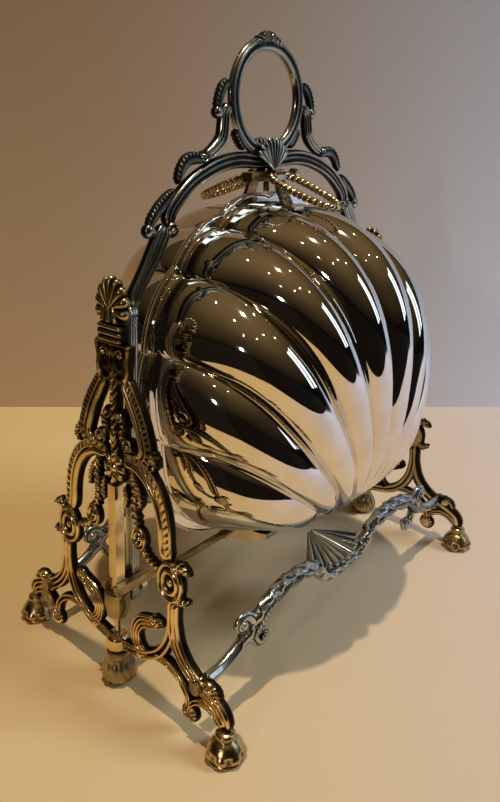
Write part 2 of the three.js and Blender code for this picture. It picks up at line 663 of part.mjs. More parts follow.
// A bowl. Its mouth is rounder above the widest height and squarer below; its depth falls away to
// nothing at the mouth's edge; its flutes are lines fanning out from the foot of the mouth.
const upperPower = 2;
const lowerPower = 3.2;
const depthPower = 2.4;
const fluteAngle = 13; // degrees: the flute whose width sets the depth
const rimFadeShare = 0.45; // how much shallower a flute is at the mouth
const crestPower = 0.75;
const lobeSteps = 5;
const cornerSteps = 7;
const depthSteps = 10;
const flangeFront = 0.35; // half the gap between the two mouths

function outlineAt(turn) {
  const down = Math.cos(turn) > 0;
  const power = down ? lowerPower : upperPower;
  const reach = down ? mouthDrop : mouthRise;
  const wide = Math.abs(Math.sin(turn)) ** (2 / power);
  const high = Math.abs(Math.cos(turn)) ** (2 / power);
  return [Math.sign(Math.sin(turn)) * mouthHalfWide * wide, (down ? -1 : 1) * reach * high];
}

const fanAngle = (turn) => {
  const [x, z] = outlineAt(turn);
  return Math.atan2(x, z + mouthDrop);
};

// The outline's own turn at which a line fanned out at this angle meets it
function turnAtAngle(angle) {
  let [low, high] = [0.01, Math.PI];
  for (let i = 0; i < 50; i += 1) {
    const middle = (low + high) / 2;
    if (fanAngle(middle) > angle) low = middle;
    else high = middle;
  }
  return (low + high) / 2;
}

// Depth of the bowl's skin below its smooth form, for a line at this angle and this far from the foot
function fluteDepth(angle, distance, share) {
  const size = Math.abs(THREE.MathUtils.radToDeg(angle));
  const outer = creaseAngles.findIndex((crease) => crease > size + 1e-9);
  const last = creaseAngles[creaseAngles.length - 1];
  const swell = outer > 0
    ? Math.sin(Math.PI * (size - creaseAngles[outer - 1]) / (creaseAngles[outer] - creaseAngles[outer - 1]))
    : Math.cos(0.5 * Math.PI * Math.max(0, 1 - (size - last) / (90 - last)));
  const full = fluteShare * distance * THREE.MathUtils.degToRad(fluteAngle);
  return full * (1 - rimFadeShare * share ** 4) * (1 - Math.max(0, swell) ** crestPower);
}

// The smooth form's depth and outward direction at a place in the mouth
function smoothForm(x, z) {
  const power = z < 0 ? lowerPower : upperPower;
  const reach = z < 0 ? mouthDrop : mouthRise;
  const spread = Math.abs(x / mouthHalfWide) ** power + Math.abs(z / reach) ** power;
  const inside = Math.min(1, spread ** (depthPower / power));
  const depth = bowlDepth * (1 - inside) ** (1 / depthPower);
  const pull = spread > 0 ? (depthPower / power) * spread ** (depthPower / power - 1) : 0;
  const normal = new THREE.Vector3(
    pull * power * Math.abs(x / mouthHalfWide) ** (power - 1) * Math.sign(x) / mouthHalfWide,
    -depthPower * (depth / bowlDepth) ** (depthPower - 1) / bowlDepth,
    pull * power * Math.abs(z / reach) ** (power - 1) * Math.sign(z) / reach);
  return { depth, normal: normal.normalize() };
}

const mouthPlane = flangeFront + flangeThick + seatGap;

function skinPoint(turn, share, inset) {
  const [rimX, rimZ] = outlineAt(turn);
  const x = rimX * share;
  const z = -mouthDrop + (rimZ + mouthDrop) * share;
  const { depth, normal } = smoothForm(x, z);
  const angle = Math.atan2(x, z + mouthDrop);
  const drop = inset + (share > 0 ? fluteDepth(angle, Math.hypot(x, z + mouthDrop), share) : 0);
  const atRim = share >= 1 || share <= 0;
  return new THREE.Vector3(x - normal.x * drop, atRim ? -mouthPlane : -mouthPlane - depth - normal.y * drop,
    widestHeight + z - normal.z * drop);
}

// Turns of the outline from one side of its foot round to the other, with a crease on every join
function outlineTurns() {
  const creases = creaseAngles.map((angle) => turnAtAngle(THREE.MathUtils.degToRad(Math.max(angle, 1e-6))));
  const side = [];
  const corner = creases[creases.length - 1];
  for (let i = 1; i <= cornerSteps; i += 1) side.push(corner * (i / cornerSteps) ** (lowerPower / 2));
  for (let k = creases.length - 1; k > 0; k -= 1) {
    for (let i = 1; i <= lobeSteps; i += 1) {
      side.push(creases[k] + (creases[k - 1] - creases[k]) * (i / lobeSteps));
    }
  }
  side[side.length - 1] = Math.PI;
  return [...side, ...side.slice(0, -1).reverse().map((turn) => -turn)];
}

function bowlSolid() {
  const turns = outlineTurns();
  const positions = [];
  const index = [];
  const add = (point) => positions.push(point.x, point.y, point.z) / 3 - 1;
  const skins = [0, wall].map((inset) => {
    const foot = add(new THREE.Vector3(0, -mouthPlane, widestHeight - mouthDrop + inset));
    const columns = turns.map((turn) => Array.from({ length: depthSteps }, (_, i) =>
      add(skinPoint(turn, (1 - Math.cos(Math.PI * (i + 1) / depthSteps)) / 2, inset))));
    const blank = Array(depthSteps).fill(foot);
    return { foot, columns: [blank, ...columns, blank] };
  });
  const face = (a, b, c, flip) => index.push(...(flip ? [a, c, b] : [a, b, c]));
  skins.forEach(({ foot, columns }, which) => {
    for (let j = 0; j < columns.length - 1; j += 1) {
      const [here, next] = [[foot, ...columns[j]], [foot, ...columns[j + 1]]];
      for (let i = 0; i < depthSteps; i += 1) {
        face(here[i], here[i + 1], next[i + 1], which);
        face(here[i], next[i + 1], next[i], which);
      }
    }
  });
  const rims = skins.map(({ columns }) => columns.slice(0, -1).map((column) => column[depthSteps - 1]));
  rims[0].forEach((a, j) => {
    const k = (j + 1) % rims[0].length;
    face(rims[0][k], a, rims[1][j]);
    face(rims[0][k], rims[1][j], rims[1][k]);
  });
  const geometry = new THREE.BufferGeometry();
  geometry.setAttribute('position', new THREE.Float32BufferAttribute(positions, 3));
  geometry.setIndex(index);
  return solidOf(geometry);
}

// The flat flange round the mouth, with two ears for the inner cover's hinge
const earHalfSpread = 21;
const earThick = 1.6;
const earReach = 5;
const coverHingeRise = 6; // from the mouth's lowest point up to the cover's hinge
const coverHingeAcross = 4.4;
const coverPinRadius = 0.8;
const flangeScallopShare = 0.6;
const coverHingeHeight = mouthFoot + coverHingeRise;

function flangeSolid() {
  const turns = [0, ...outlineTurns()];
  const loop = (outward, depth) => turns.map((turn) => {
    const [x, z] = outlineAt(turn);
    const { normal } = turn === 0 ? { normal: new THREE.Vector3(0, 0, -1) } : smoothForm(x, z);
    normal.y = 0;
    normal.normalize();
    const recess = turn === 0 ? 0 : fluteDepth(fanAngle(Math.abs(turn)), Math.hypot(x, z + mouthDrop), 1);
    const move = outward > 0 ? outward - recess * flangeScallopShare : outward - recess;
    return new THREE.Vector3(x + normal.x * move, -depth, widestHeight + z + normal.z * move);
  });
  const back = flangeFront + flangeThick;
  const ring = solidOf(loft([loop(flangeWidth, flangeFront), loop(flangeWidth, back), loop(-wall, back),
    loop(-wall, flangeFront)], true));
  const ears = [1, -1].map((side) => {
    const x = side * earHalfSpread;
    const low = widestHeight - mouthDrop - flangeWidth / 2;
    const top = coverHingeHeight + coverPinRadius * 2;
    const web = block([x - earThick / 2, -back, low], [x + earThick / 2, -flangeFront, top]);
    const floor = widestHeight - mouthDrop + wall + runningGap * 2;
    const ear = block([x - earThick / 2, -coverHingeAcross - coverPinRadius * 2, floor],
      [x + earThick / 2, -flangeFront, top]);
    return web.add(ear);
  });
  const bore = bar(new THREE.Vector3(-earHalfSpread - earReach, -coverHingeAcross, coverHingeHeight),
    new THREE.Vector3(earHalfSpread + earReach, -coverHingeAcross, coverHingeHeight),
    coverPinRadius + seatGap / 2, 8);
  return joined([ring, ...ears]).subtract(bore);
}

// The leaf under the bowl and its knuckles on the hinge rod
const leafHalf = 34;
const leafReachShares = [0.028, 0.17, 0.3, 0.37];
const knuckleRadius = 3.5;
const knuckleLength = 12;
const knucklePlaces = [-28, 10];
const leafClear = 4.3; // the leaf keeps this far from the hinge axis between its knuckles
const leafEdge = 2.6;

const undersideAt = (depth) => {
  const inside = Math.max(0, 1 - (Math.max(0, depth - mouthPlane) / bowlDepth) ** depthPower);
  return widestHeight - mouthDrop * inside ** (1 / depthPower);
};

function leafSolid() {
  const reaches = leafReachShares.map((share) => share * bowlDepth + mouthPlane);
  const top = reaches.map((depth) => [-depth, undersideAt(depth) - seatGap]);
  const outer = reaches[reaches.length - 1];
  const underside = [[-outer, top[top.length - 1][1] - leafEdge],
    [-outer * 0.6, hingeHeight + leafEdge * 1.2], [-leafClear, hingeHeight + leafEdge / 2]];
  const shoulder = [[-leafClear, undersideAt(0) - flangeWidth - seatGap]];
  const wedge = plate([...shoulder, ...top, ...underside], -leafHalf, leafHalf, (u, v, depth) =>
    new THREE.Vector3(depth, u, v));
  const knuckles = knucklePlaces.flatMap((middle) => {
    const [a, b] = [middle - knuckleLength / 2, middle + knuckleLength / 2];
    const arm = block([a, -leafClear - leafEdge, hingeHeight + leafEdge / 2],
      [b, 0, hingeHeight + knuckleRadius * 0.9]);
    const barrel = bar(new THREE.Vector3(a, 0, hingeHeight), new THREE.Vector3(b, 0, hingeHeight),
      knuckleRadius, 14);
    return [barrel, arm];
  });
  const bore = bar(new THREE.Vector3(-leafHalf - cutOverrun, 0, hingeHeight),
    new THREE.Vector3(leafHalf + cutOverrun, 0, hingeHeight), hingeBore, 12);
  return joined([wedge, ...knuckles]).subtract(bore);
}

// The strap that ties the bowl's top to the catch, ending in the eye of the pull loop
const tieHalf = 3.4;
const tieThick = 1.4;
const tieFootFrom = 12.5;
const tieFootTo = 20;
const eyeAcross = 6.6;
const eyeRise = 11.9; // from the mouth's top up to the eye
const eyeRadius = 2.9;
const loopBarRadius = 1.1;

const eyeHeight = mouthTop + eyeRise;

const topAt = (depth, x) => {
  const size = Math.abs(x) / mouthHalfWide;
  const flat = (1 - ((depth - mouthPlane) / bowlDepth) ** depthPower) ** (upperPower / depthPower);
  return widestHeight + mouthRise * Math.sqrt(flat - size ** upperPower);
};

function tieSolid() {
  const recess = fluteDepth(Math.atan2(tieHalf, mouthRise + mouthDrop), mouthRise + mouthDrop, 1);
  const [near, far] = [tieFootFrom, tieFootTo].map((depth) => topAt(depth, tieHalf) - recess + seatGap * 2);
  const bend = (near + eyeHeight) / 2;
  const neck = (eyeAcross + tieFootFrom) / 2;
  const outline = [[-eyeAcross - tieThick, eyeHeight], [-neck - tieThick, bend],
    [-tieFootFrom - tieThick, near + tieThick], [-tieFootTo, far + tieThick], [-tieFootTo, far],
    [-tieFootFrom, near], [-neck, bend - tieThick], [-eyeAcross, eyeHeight - tieThick]];
  const body = plate(outline, -tieHalf, tieHalf, (u, v, depth) => new THREE.Vector3(depth, u, v));
  const eye = (radius, half) => bar(new THREE.Vector3(-half, -eyeAcross, eyeHeight),
    new THREE.Vector3(half, -eyeAcross, eyeHeight), radius, 14);
  return body.add(eye(eyeRadius, tieHalf)).subtract(eye(loopBarRadius + runningGap, tieHalf + cutOverrun));
}

// The rope-twist pull loop
const loopLength = 36;
const loopHalfWide = 8.4;
const ropeRadius = 1.9;
const loopRestAngle = 19.5; // degrees below level, lying on the bowl
const loopOutlineShares = [[0, 0], [0.55, 0], [0.85, 0.06], [1, 0.24], [1, 0.52], [0.78, 0.82], [0.36, 0.97],
  [0, 1]];

function pullLoopSolid() {
  const half = loopOutlineShares.map(([u, v]) => [u * loopHalfWide, v * loopLength]);
  const line = [...half, ...half.slice(1, -1).reverse().map(([u, v]) => [-u, v])];
  const points = line.map(([u, v]) => new THREE.Vector3(u, -v, 0));
  const path = new THREE.CatmullRomCurve3(points, true, 'centripetal');
  const steps = 28;
  const frames = path.computeFrenetFrames(steps, true);
  const rings = Array.from({ length: steps }, (_, i) => {
    const middle = path.getPointAt(i / steps);
    const near = Math.abs(middle.x) < tieHalf + runningGap * 2 && Math.abs(middle.y) < ropeRadius;
    const radius = near ? loopBarRadius : ropeRadius;
    return Array.from({ length: 8 }, (unused, j) => {
      const turn = (2 * Math.PI * j) / 8;
      return middle.clone().addScaledVector(frames.normals[i], radius * Math.cos(turn))
        .addScaledVector(frames.binormals[i], radius * Math.sin(turn));
    });
  });
  return solidOf(loft(rings, true)).rotate([loopRestAngle, 0, 0]).translate([0, -eyeAcross, eyeHeight]);
}

// The pierced cover inside each mouth, its pin and its knob
const coverThick = 1;
const coverInset = 9;
const coverFoot = 3;
const coverSlots = 9;
const coverSpread = 116; // degrees
const slotInnerShare = 0.34;
const slotOuterShare = 0.8;
const slotHalfShare = 0.032;
const coverEyeRadius = 1.7;
const coverEyeLength = 9;
const coverEyePlace = 12;
const coverKnobRadius = 4;
const coverKnobHeight = 2.2;
const coverKnobShare = 0.86;

function coverSolid() {
  const base = coverHingeHeight + coverFoot;
  const [low, high] = [-coverHingeAcross - coverThick / 2, -coverHingeAcross + coverThick / 2];
  const inFront = (u, v, depth) => new THREE.Vector3(u, depth, v);
  const outline = outlineTurns().filter((turn, i) => i % 2 === 0).map((turn) => {
    const [x, z] = outlineAt(turn);
    const size = Math.hypot(x, z);
    const scale = (size - coverInset) / size;
    return [x * scale, Math.max(base, widestHeight + z * scale)];
  });
  const sheet = plate(outline, low, high, (u, v, depth) => inFront(u, v, depth));
  const reach = widestHeight + mouthRise - coverInset - base;
  const slots = Array.from({ length: coverSlots }, (_, i) => {
    const turn = THREE.MathUtils.degToRad(coverSpread) * (i / (coverSlots - 1) - 0.5);
    const side = Math.abs(Math.sin(turn));
    const length = reach * (1 - 0.42 * side * side);
    const spot = (share, across) => [length * share * Math.sin(turn) + across * Math.cos(turn),
      base + length * share * Math.cos(turn) - across * Math.sin(turn)];
    const half = slotHalfShare * reach;
    const shape = [spot(slotInnerShare, 0), spot((slotInnerShare + slotOuterShare) / 2, half * 0.8),
      spot(slotOuterShare, half), spot(slotOuterShare + slotHalfShare, 0), spot(slotOuterShare, -half),
      spot((slotInnerShare + slotOuterShare) / 2, -half * 0.8)];
    return plate(shape, low - cutOverrun, high + cutOverrun, (u, v, depth) => inFront(u, v, depth));
  });
  const eyes = [1, -1].flatMap((side) => {
    const [a, b] = [-1, 1].map((way) => side * (coverEyePlace + way * coverEyeLength / 2));
    return [bar(new THREE.Vector3(a, -coverHingeAcross, coverHingeHeight),
      new THREE.Vector3(b, -coverHingeAcross, coverHingeHeight), coverEyeRadius, 10),
    block([Math.min(a, b), low, coverHingeHeight], [Math.max(a, b), high, base + coverFoot])];
  });
  const bore = bar(new THREE.Vector3(-earHalfSpread, -coverHingeAcross, coverHingeHeight),
    new THREE.Vector3(earHalfSpread, -coverHingeAcross, coverHingeHeight), coverPinRadius + seatGap, 8);
  return without(joined([sheet, ...eyes]), [...slots, bore]);
}

function coverPinSolid() {
  const end = earHalfSpread + earThick / 2 + seatGap;
  return bar(new THREE.Vector3(-end, -coverHingeAcross, coverHingeHeight),
    new THREE.Vector3(end, -coverHingeAcross, coverHingeHeight), coverPinRadius, 8);
}

function coverKnobSolid() {
  const height = widestHeight + mouthRise * coverKnobShare - coverInset;
  const profile = [[0, 0], [coverKnobRadius * 0.6, 0], [coverKnobRadius, coverKnobHeight * 0.6],
    [coverKnobRadius * 0.7, coverKnobHeight], [0, coverKnobHeight]];
  return turned(profile, 12).rotate([-90, 0, 0])
    .translate([0, -coverHingeAcross + coverThick / 2 + seatGap, height]);
}

// Rivets that hold the leaf to the bowl
const rivetRadius = 2.2;
const rivetHeight = 1.2;
const rivetPlace = 24;

function rivetSolid() {
  const across = leafReachShares[2] * bowlDepth;
  const outer = leafReachShares[3] * bowlDepth + mouthPlane;
  const edgeHeight = undersideAt(outer) - seatGap - leafEdge;
  const innerHeight = hingeHeight + leafEdge * 1.2;
  const slope = (edgeHeight - innerHeight) / (outer - outer * 0.6);
  const height = innerHeight + slope * (across - outer * 0.6) - seatGap;
  const tilt = THREE.MathUtils.radToDeg(Math.atan(slope));
  return turned([[0, -rivetHeight], [rivetRadius * 0.7, -rivetHeight], [rivetRadius, 0], [0, 0]], 10)
    .rotate([-tilt, 0, 0]).translate([0, -across, height]);
}

// Assembly

const box = new THREE.Group();
const ends = [['left', 0], ['right', Math.PI]];
const faces = [['front', 0], ['rear', Math.PI]];

for (const [end, turn] of ends) {
  const side = new THREE.Group();
  side.rotation.z = turn;
  const leaning = new THREE.Group();
  leaning.position.x = -faceAtFloor;
  leaning.rotation.y = leanAngle;
  leaning.add(
    piece(`end_support_${end}`, supportSolid(), castSilver),
    piece(`finial_${end}`, finialSolid(), castSilver),
    piece(`guide_rod_${end}`, guideRodSolid(), plainSilver),
    piece(`rod_collar_${end}`, rodCollarSolid(), darkSilver),
    piece(`handle_leg_${end}`, handleLegSolid(), plainSilver),
  );
  const pear = piece(`pear_foot_${end}`, pearSolid(), castSilver);
  pear.position.x = faceAt(pearHeight) + guideOffset;
  side.add(leaning, pear, piece(`guide_fork_${end}`, forkSolid(), darkSilver),
    piece(`axle_collar_${end}`, axleCollarSolid(), plainSilver));
  for (const [face, across] of [['front', -1], ['rear', 1]]) {
    const facing = end === 'left' ? across : -across;
    const foot = piece(`foot_${face}_${end}`, footSolid(), castSilver);
    foot.position.set(-footSpanAlong / 2, facing * sideReach, 0);
    side.add(foot);
    leaning.add(piece(`stretcher_screw_${face}_${end}`, screwSolid(facing), darkSilver));
  }
  box.add(side);
}

for (const [face, turn] of faces) {
  const side = new THREE.Group();
  side.rotation.z = turn;
  side.add(
    piece(`stretcher_${face}`, stretcherSolid(), castSilver),
    piece(`bowl_rest_${face}`, restSolid(), castSilver),
    piece(`arch_crest_${face}`, archCrestSolid(), castSilver),
    piece(`bowl_${face}`, bowlSolid(), polishedSilver),
    piece(`mouth_flange_${face}`, flangeSolid(), polishedSilver),
    piece(`hinge_leaf_${face}`, leafSolid(), plainSilver),
    piece(`catch_strap_${face}`, tieSolid(), plainSilver),
    piece(`pull_loop_${face}`, pullLoopSolid(), giltSilver),
    piece(`inner_cover_${face}`, coverSolid(), plainSilver),
    piece(`cover_pin_${face}`, coverPinSolid(), darkSilver),
    piece(`cover_knob_${face}`, coverKnobSolid(), giltSilver),
  );
  for (const end of [-1, 1]) {
    const which = (end < 0) === (face === 'front') ? 'left' : 'right';
    const rivet = piece(`leaf_rivet_${face}_${which}`, rivetSolid(), plainSilver);
    rivet.position.x = end * rivetPlace;
    side.add(rivet);
  }
  box.add(side);
}

box.add(
  piece('handle_arch', archSolid(), castSilver),
  piece('ring_handle', ringSolid(), castSilver),
  piece('hinge_rod', hingeRodSolid(), darkSilver),
  piece('catch_block', catchBlockSolid(), darkSilver),
  piece('catch_bolt', boltSolid(), plainSilver),
);

export default box;
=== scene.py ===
# %% [markdown]
# # A folding biscuit box in silver plate
#
# This notebook dresses a imported CAD model of a Victorian folding biscuit box: two fluted shell bowls
# between cast scrollwork supports, under an arch with a ring handle. Every surface is a parametric one,
# worked out on a numpy grid in millimetres and turned into a mesh in metres, in the CAD model's own frame.
#
# First the frame is loaded, and each CAD part's placement is laid into its mesh. The dressed model has to
# stay inside it.

# %% Load the frame
from math import atan, cos, pi, radians, sin, tan

import bmesh
import bpy
import numpy as np
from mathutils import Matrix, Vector


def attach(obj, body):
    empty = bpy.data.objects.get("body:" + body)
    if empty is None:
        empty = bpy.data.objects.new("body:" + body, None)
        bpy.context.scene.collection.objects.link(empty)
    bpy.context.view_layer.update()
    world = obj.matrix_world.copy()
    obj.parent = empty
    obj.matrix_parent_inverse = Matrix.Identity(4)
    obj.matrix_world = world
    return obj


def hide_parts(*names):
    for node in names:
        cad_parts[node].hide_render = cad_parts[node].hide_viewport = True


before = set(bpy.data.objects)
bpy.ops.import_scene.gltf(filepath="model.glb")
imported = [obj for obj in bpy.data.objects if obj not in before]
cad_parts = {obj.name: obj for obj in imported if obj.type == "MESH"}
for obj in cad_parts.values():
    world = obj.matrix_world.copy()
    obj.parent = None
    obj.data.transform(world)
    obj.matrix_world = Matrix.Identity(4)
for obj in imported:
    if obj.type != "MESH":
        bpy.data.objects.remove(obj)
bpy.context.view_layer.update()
MM = 0.001

# %% [markdown]
# ## From formulas to meshes
#
# Castings like these could be sculpted by hand. Here each surface is a formula over two parameters, u and
# v, because a formula can be measured, is changed by one number, and comes out the same each time.
#
# A part is a triple of arrays: vertices, quads and relief. Relief runs from 0 in the recesses of a casting
# to 1 on its crests, and is kept on the mesh as an attribute, where the silver materials read it: they are
# dark with old polish in the recesses and bright on the crests.

# %% Grids
def skin(points, relief, wrap_u=False, wrap_v=True):
    """Quads over a grid of points P(u, v), optionally closed in either direction."""
    rows, cols = points.shape[:2]
    index = np.arange(rows * cols).reshape(rows, cols)
    if wrap_u:
        index = np.vstack([index, index[:1]])
    if wrap_v:
        index = np.hstack([index, index[:, :1]])
    quads = np.stack([index[:-1, :-1], index[1:, :-1], index[1:, 1:], index[:-1, 1:]], axis=-1)
    return points.reshape(-1, 3), quads.reshape(-1, 4), np.broadcast_to(relief, (rows, cols)).reshape(-1)


def capped(grid, shade):
    """A skin whose first and last rows are each closed to one point, the mean of that row."""
    ends = [grid[k:k + 1].mean(axis=1, keepdims=True).repeat(grid.shape[1], 1) for k in (0, len(grid) - 1)]
    return skin(np.concatenate([ends[0], grid, ends[1]]), np.concatenate([shade[:1], shade, shade[-1:]]))


print("a grid of 3 by 4 points, closed one way, has", len(skin(np.zeros((3, 4, 3)), 1.0)[1]), "quads")

# %% [markdown]
# ## Smooth lines
#
# A casting's scrolls are drawn by a few points each. Blender's Bezier curves would need a handle set at
# every point; a Catmull-Rom curve goes through its points by itself, and its centripetal form makes no
# loops where two points lie close together.

# %% Curves
def smooth(points, count, closed=False):
    """A centripetal Catmull-Rom curve through the points, as `count` places evenly spread by length.

    Each span blends straight lines between knots, whose spacing is the root of the distance between
    points. Returns the places and their distances from the start.
    """
    p = np.asarray(points, float)
    p = np.vstack([p[-1:], p, p[:2]]) if closed else np.vstack([2 * p[0] - p[1], p, 2 * p[-1] - p[-2]])
    knots = np.concatenate([[0], np.cumsum(np.linalg.norm(np.diff(p, axis=0), axis=1) ** 0.5)])
    spans = len(p) - 3
    t = np.linspace(0, spans, spans * 24 + 1)
    i = np.minimum(t.astype(int), spans - 1)
    k = [knots[i + j][:, None] for j in range(4)]
    q = [p[i + j] for j in range(4)]
    x = k[1] + (t - i)[:, None] * (k[2] - k[1])
    a = [((k[j + 1] - x) * q[j] + (x - k[j]) * q[j + 1]) / (k[j + 1] - k[j]) for j in range(3)]
    b = [((k[j + 2] - x) * a[j] + (x - k[j]) * a[j + 1]) / (k[j + 2] - k[j]) for j in range(2)]
    c = ((k[2] - x) * b[0] + (x - k[1]) * b[1]) / (k[2] - k[1])
    length = np.concatenate([[0], np.cumsum(np.linalg.norm(np.diff(c, axis=0), axis=1))])
    s = np.linspace(0, length[-1], count + closed)[:count]
    return np.stack([np.interp(s, length, c[:, d]) for d in range(p.shape[1])], axis=1), s


def directions(line, closed=False):
    """Unit tangents of a curve, from the difference of each place's two neighbours."""
    step = np.roll(line, -1, axis=0) - np.roll(line, 1, axis=0) if closed else np.gradient(line, axis=0)
    return step / np.linalg.norm(step, axis=1, keepdims=True)


arc = [[10 * cos(pi * k / 4), 10 * sin(pi * k / 4)] for k in range(5)]
measured = smooth(arc, 9)[1][-1]
print(f"half a circle of 10 mm through five points: {measured:.2f} mm, by formula {10 * pi:.2f} mm")

# %% [markdown]
# ## One piece from its parts
#
# A cast support is one piece of metal, however many scrolls it shows, so its parts are joined into one
# mesh. The same casting serves at both ends of the box, turned half round about the upright axis, and so
# does each piece here that has a twin.
#
# The piece's place is in its vertices and its object stays at the origin, so that patterns on object
# coordinates don't slide. Doubles are merged, which closes the poles, and the normals are made to agree.

# %% Mirroring and moving
def mirrored(parts):
    """The same parts with their first coordinate negated, which turns their quads round."""
    return [(v * [-1, 1, 1], q[:, ::-1], r) for v, q, r in parts]


def moved(part, matrix=np.eye(3), shift=(0, 0, 0)):
    """A part turned by a matrix and then shifted."""
    return part[0] @ np.asarray(matrix, float).T + shift, part[1], part[2]


def tipped(degrees):
    """The rotation matrix about the x axis, by the right-hand rule."""
    c, s = cos(radians(degrees)), sin(radians(degrees))
    return np.array([[1, 0, 0], [0, c, -s], [0, s, c]])


print("tipped by 90 degrees, up becomes", (tipped(90) @ [0, 0, 1]).round(3))

# %% Making a piece
pieces = []
WELD_DISTANCE = 2e-6


def make(name, parts, material, body, node, place=None, half_turn=False):
    """One named piece from several parts: placed, joined, cleaned, shaded smooth and put on its body."""
    starts = np.cumsum([0] + [len(p[0]) for p in parts[:-1]])
    verts = np.vstack([p[0] for p in parts])
    quads = np.vstack([p[1] + start for p, start in zip(parts, starts)])
    relief = np.concatenate([p[2] for p in parts])
    verts = place(verts) if place else verts
    verts = verts * [-1, -1, 1] if half_turn else verts
    mesh = bpy.data.meshes.new(name)
    mesh.vertices.add(len(verts))
    mesh.vertices.foreach_set("co", (verts * MM).astype(np.float32).ravel())
    mesh.loops.add(quads.size)
    mesh.loops.foreach_set("vertex_index", quads.astype(np.int32).ravel())
    mesh.polygons.add(len(quads))
    mesh.polygons.foreach_set("loop_start", np.arange(len(quads), dtype=np.int32) * 4)
    mesh.polygons.foreach_set("loop_total", np.full(len(quads), 4, dtype=np.int32))
    mesh.attributes.new("relief", "FLOAT", "POINT").data.foreach_set("value", relief.astype(np.float32))
    mesh.update(calc_edges=True)
    mesh.validate()
    work = bmesh.new()
    work.from_mesh(mesh)
    bmesh.ops.remove_doubles(work, verts=work.verts, dist=WELD_DISTANCE)
    bmesh.ops.recalc_face_normals(work, faces=work.faces)
    work.to_mesh(mesh)
    work.free()
    mesh.polygons.foreach_set("use_smooth", np.ones(len(mesh.polygons), dtype=bool))
    piece = bpy.data.objects.new(name, mesh)
    bpy.context.collection.objects.link(piece)
    mesh.materials.append(material)
    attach(piece, body)
    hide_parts(node)
    pieces.append(piece)
    print(f"{name}: {len(mesh.polygons)} faces")
    return piece


# %% [markdown]
# ## Silver
#
# One recipe makes every silver: a worn bright metal over a dark tarnish. The relief attribute decides where
# each shows, broken up by noise in object coordinates, and the tarnish is rougher than the metal. Fine
# grain and soft hammer waves come in as bump. An image texture could do the same, but it needs an unwrapped
# piece, and noise in object coordinates needs none.

# %% The recipe
CLOUD_SCALE, SPECK_SCALE, GRAIN_SCALE, WAVE_SCALE = 55.0, 900.0, 1400.0, 48.0
BUMP_DEPTH = 0.0001


def silver(name, bright, dark, rough, relief=0.0, grain=0.3, wave=0.0, threshold=(0.15, 0.75), tarnish=0.35):
    """Metal mixed of `dark` and `bright` by a share: relief (where `relief` is 1), less clouds and specks.

    rough is (bright roughness, dark roughness); grain and wave are bump depths in units of 0.1 mm.
    """
    material = bpy.data.materials.new(name)
    material.use_nodes = True
    nodes, links = material.node_tree.nodes, material.node_tree.links
    shader = nodes["Principled BSDF"]
    shader.inputs["Metallic"].default_value = 1.0

    def node(kind, **values):
        made = nodes.new(kind)
        for key, value in values.items():
            if key in made.inputs:
                made.inputs[key].default_value = value
            else:
                setattr(made, key, value)
        return made

    def mapped(source, low, high, to_low, to_high):
        made = node("ShaderNodeMapRange", interpolation_type="SMOOTHSTEP")
        for key, value in zip(("From Min", "From Max", "To Min", "To Max"), (low, high, to_low, to_high)):
            made.inputs[key].default_value = value
        links.new(source, made.inputs["Value"])
        return made.outputs["Result"]

    def maths(operation, a, b):
        made = node("ShaderNodeMath", operation=operation)
        for socket, value in zip(made.inputs, (a, b)):
            if isinstance(value, (int, float)):
                socket.default_value = value
            else:
                links.new(value, socket)
        return made.outputs["Value"]

    place = node("ShaderNodeTexCoord").outputs["Object"]

    def noise(scale, detail=4.0, roughness=0.55):
        made = node("ShaderNodeTexNoise", Scale=scale, Detail=detail, Roughness=roughness)
        links.new(place, made.inputs["Vector"])
        return made.outputs["Fac"]

    clouds = mapped(noise(CLOUD_SCALE), 0.35, 0.7, 0.0, 1.0)
    specks = mapped(noise(SPECK_SCALE, 2.0), 0.55, 0.75, 0.0, 1.0)
    if relief:
        held = nodes.new("ShaderNodeAttribute")
        held.attribute_name = "relief"
        crest = mapped(held.outputs["Fac"], threshold[0], threshold[1], 0.0, 1.0)
        worn = maths("SUBTRACT", crest, maths("MULTIPLY", clouds, 0.3))
    else:
        worn = maths("SUBTRACT", 1.0, maths("MULTIPLY", clouds, tarnish))
    worn = maths("MAXIMUM", maths("SUBTRACT", worn, maths("MULTIPLY", specks, 0.15)), 0.0)
    mix = node("ShaderNodeMix", data_type="RGBA")
    mix.inputs[6].default_value = (*dark, 1)
    mix.inputs[7].default_value = (*bright, 1)
    links.new(worn, mix.inputs[0])
    links.new(mix.outputs[2], shader.inputs["Base Color"])
    links.new(mapped(worn, 0.0, 1.0, rough[1], rough[0]), shader.inputs["Roughness"])
    height = maths("ADD", maths("MULTIPLY", noise(GRAIN_SCALE, 3.0), grain),
                   maths("MULTIPLY", noise(WAVE_SCALE, 1.0), wave))
    bump = node("ShaderNodeBump", Strength=1.0, Distance=BUMP_DEPTH)
    links.new(height, bump.inputs["Height"])
    links.new(bump.outputs["Normal"], shader.inputs["Normal"])
    return material
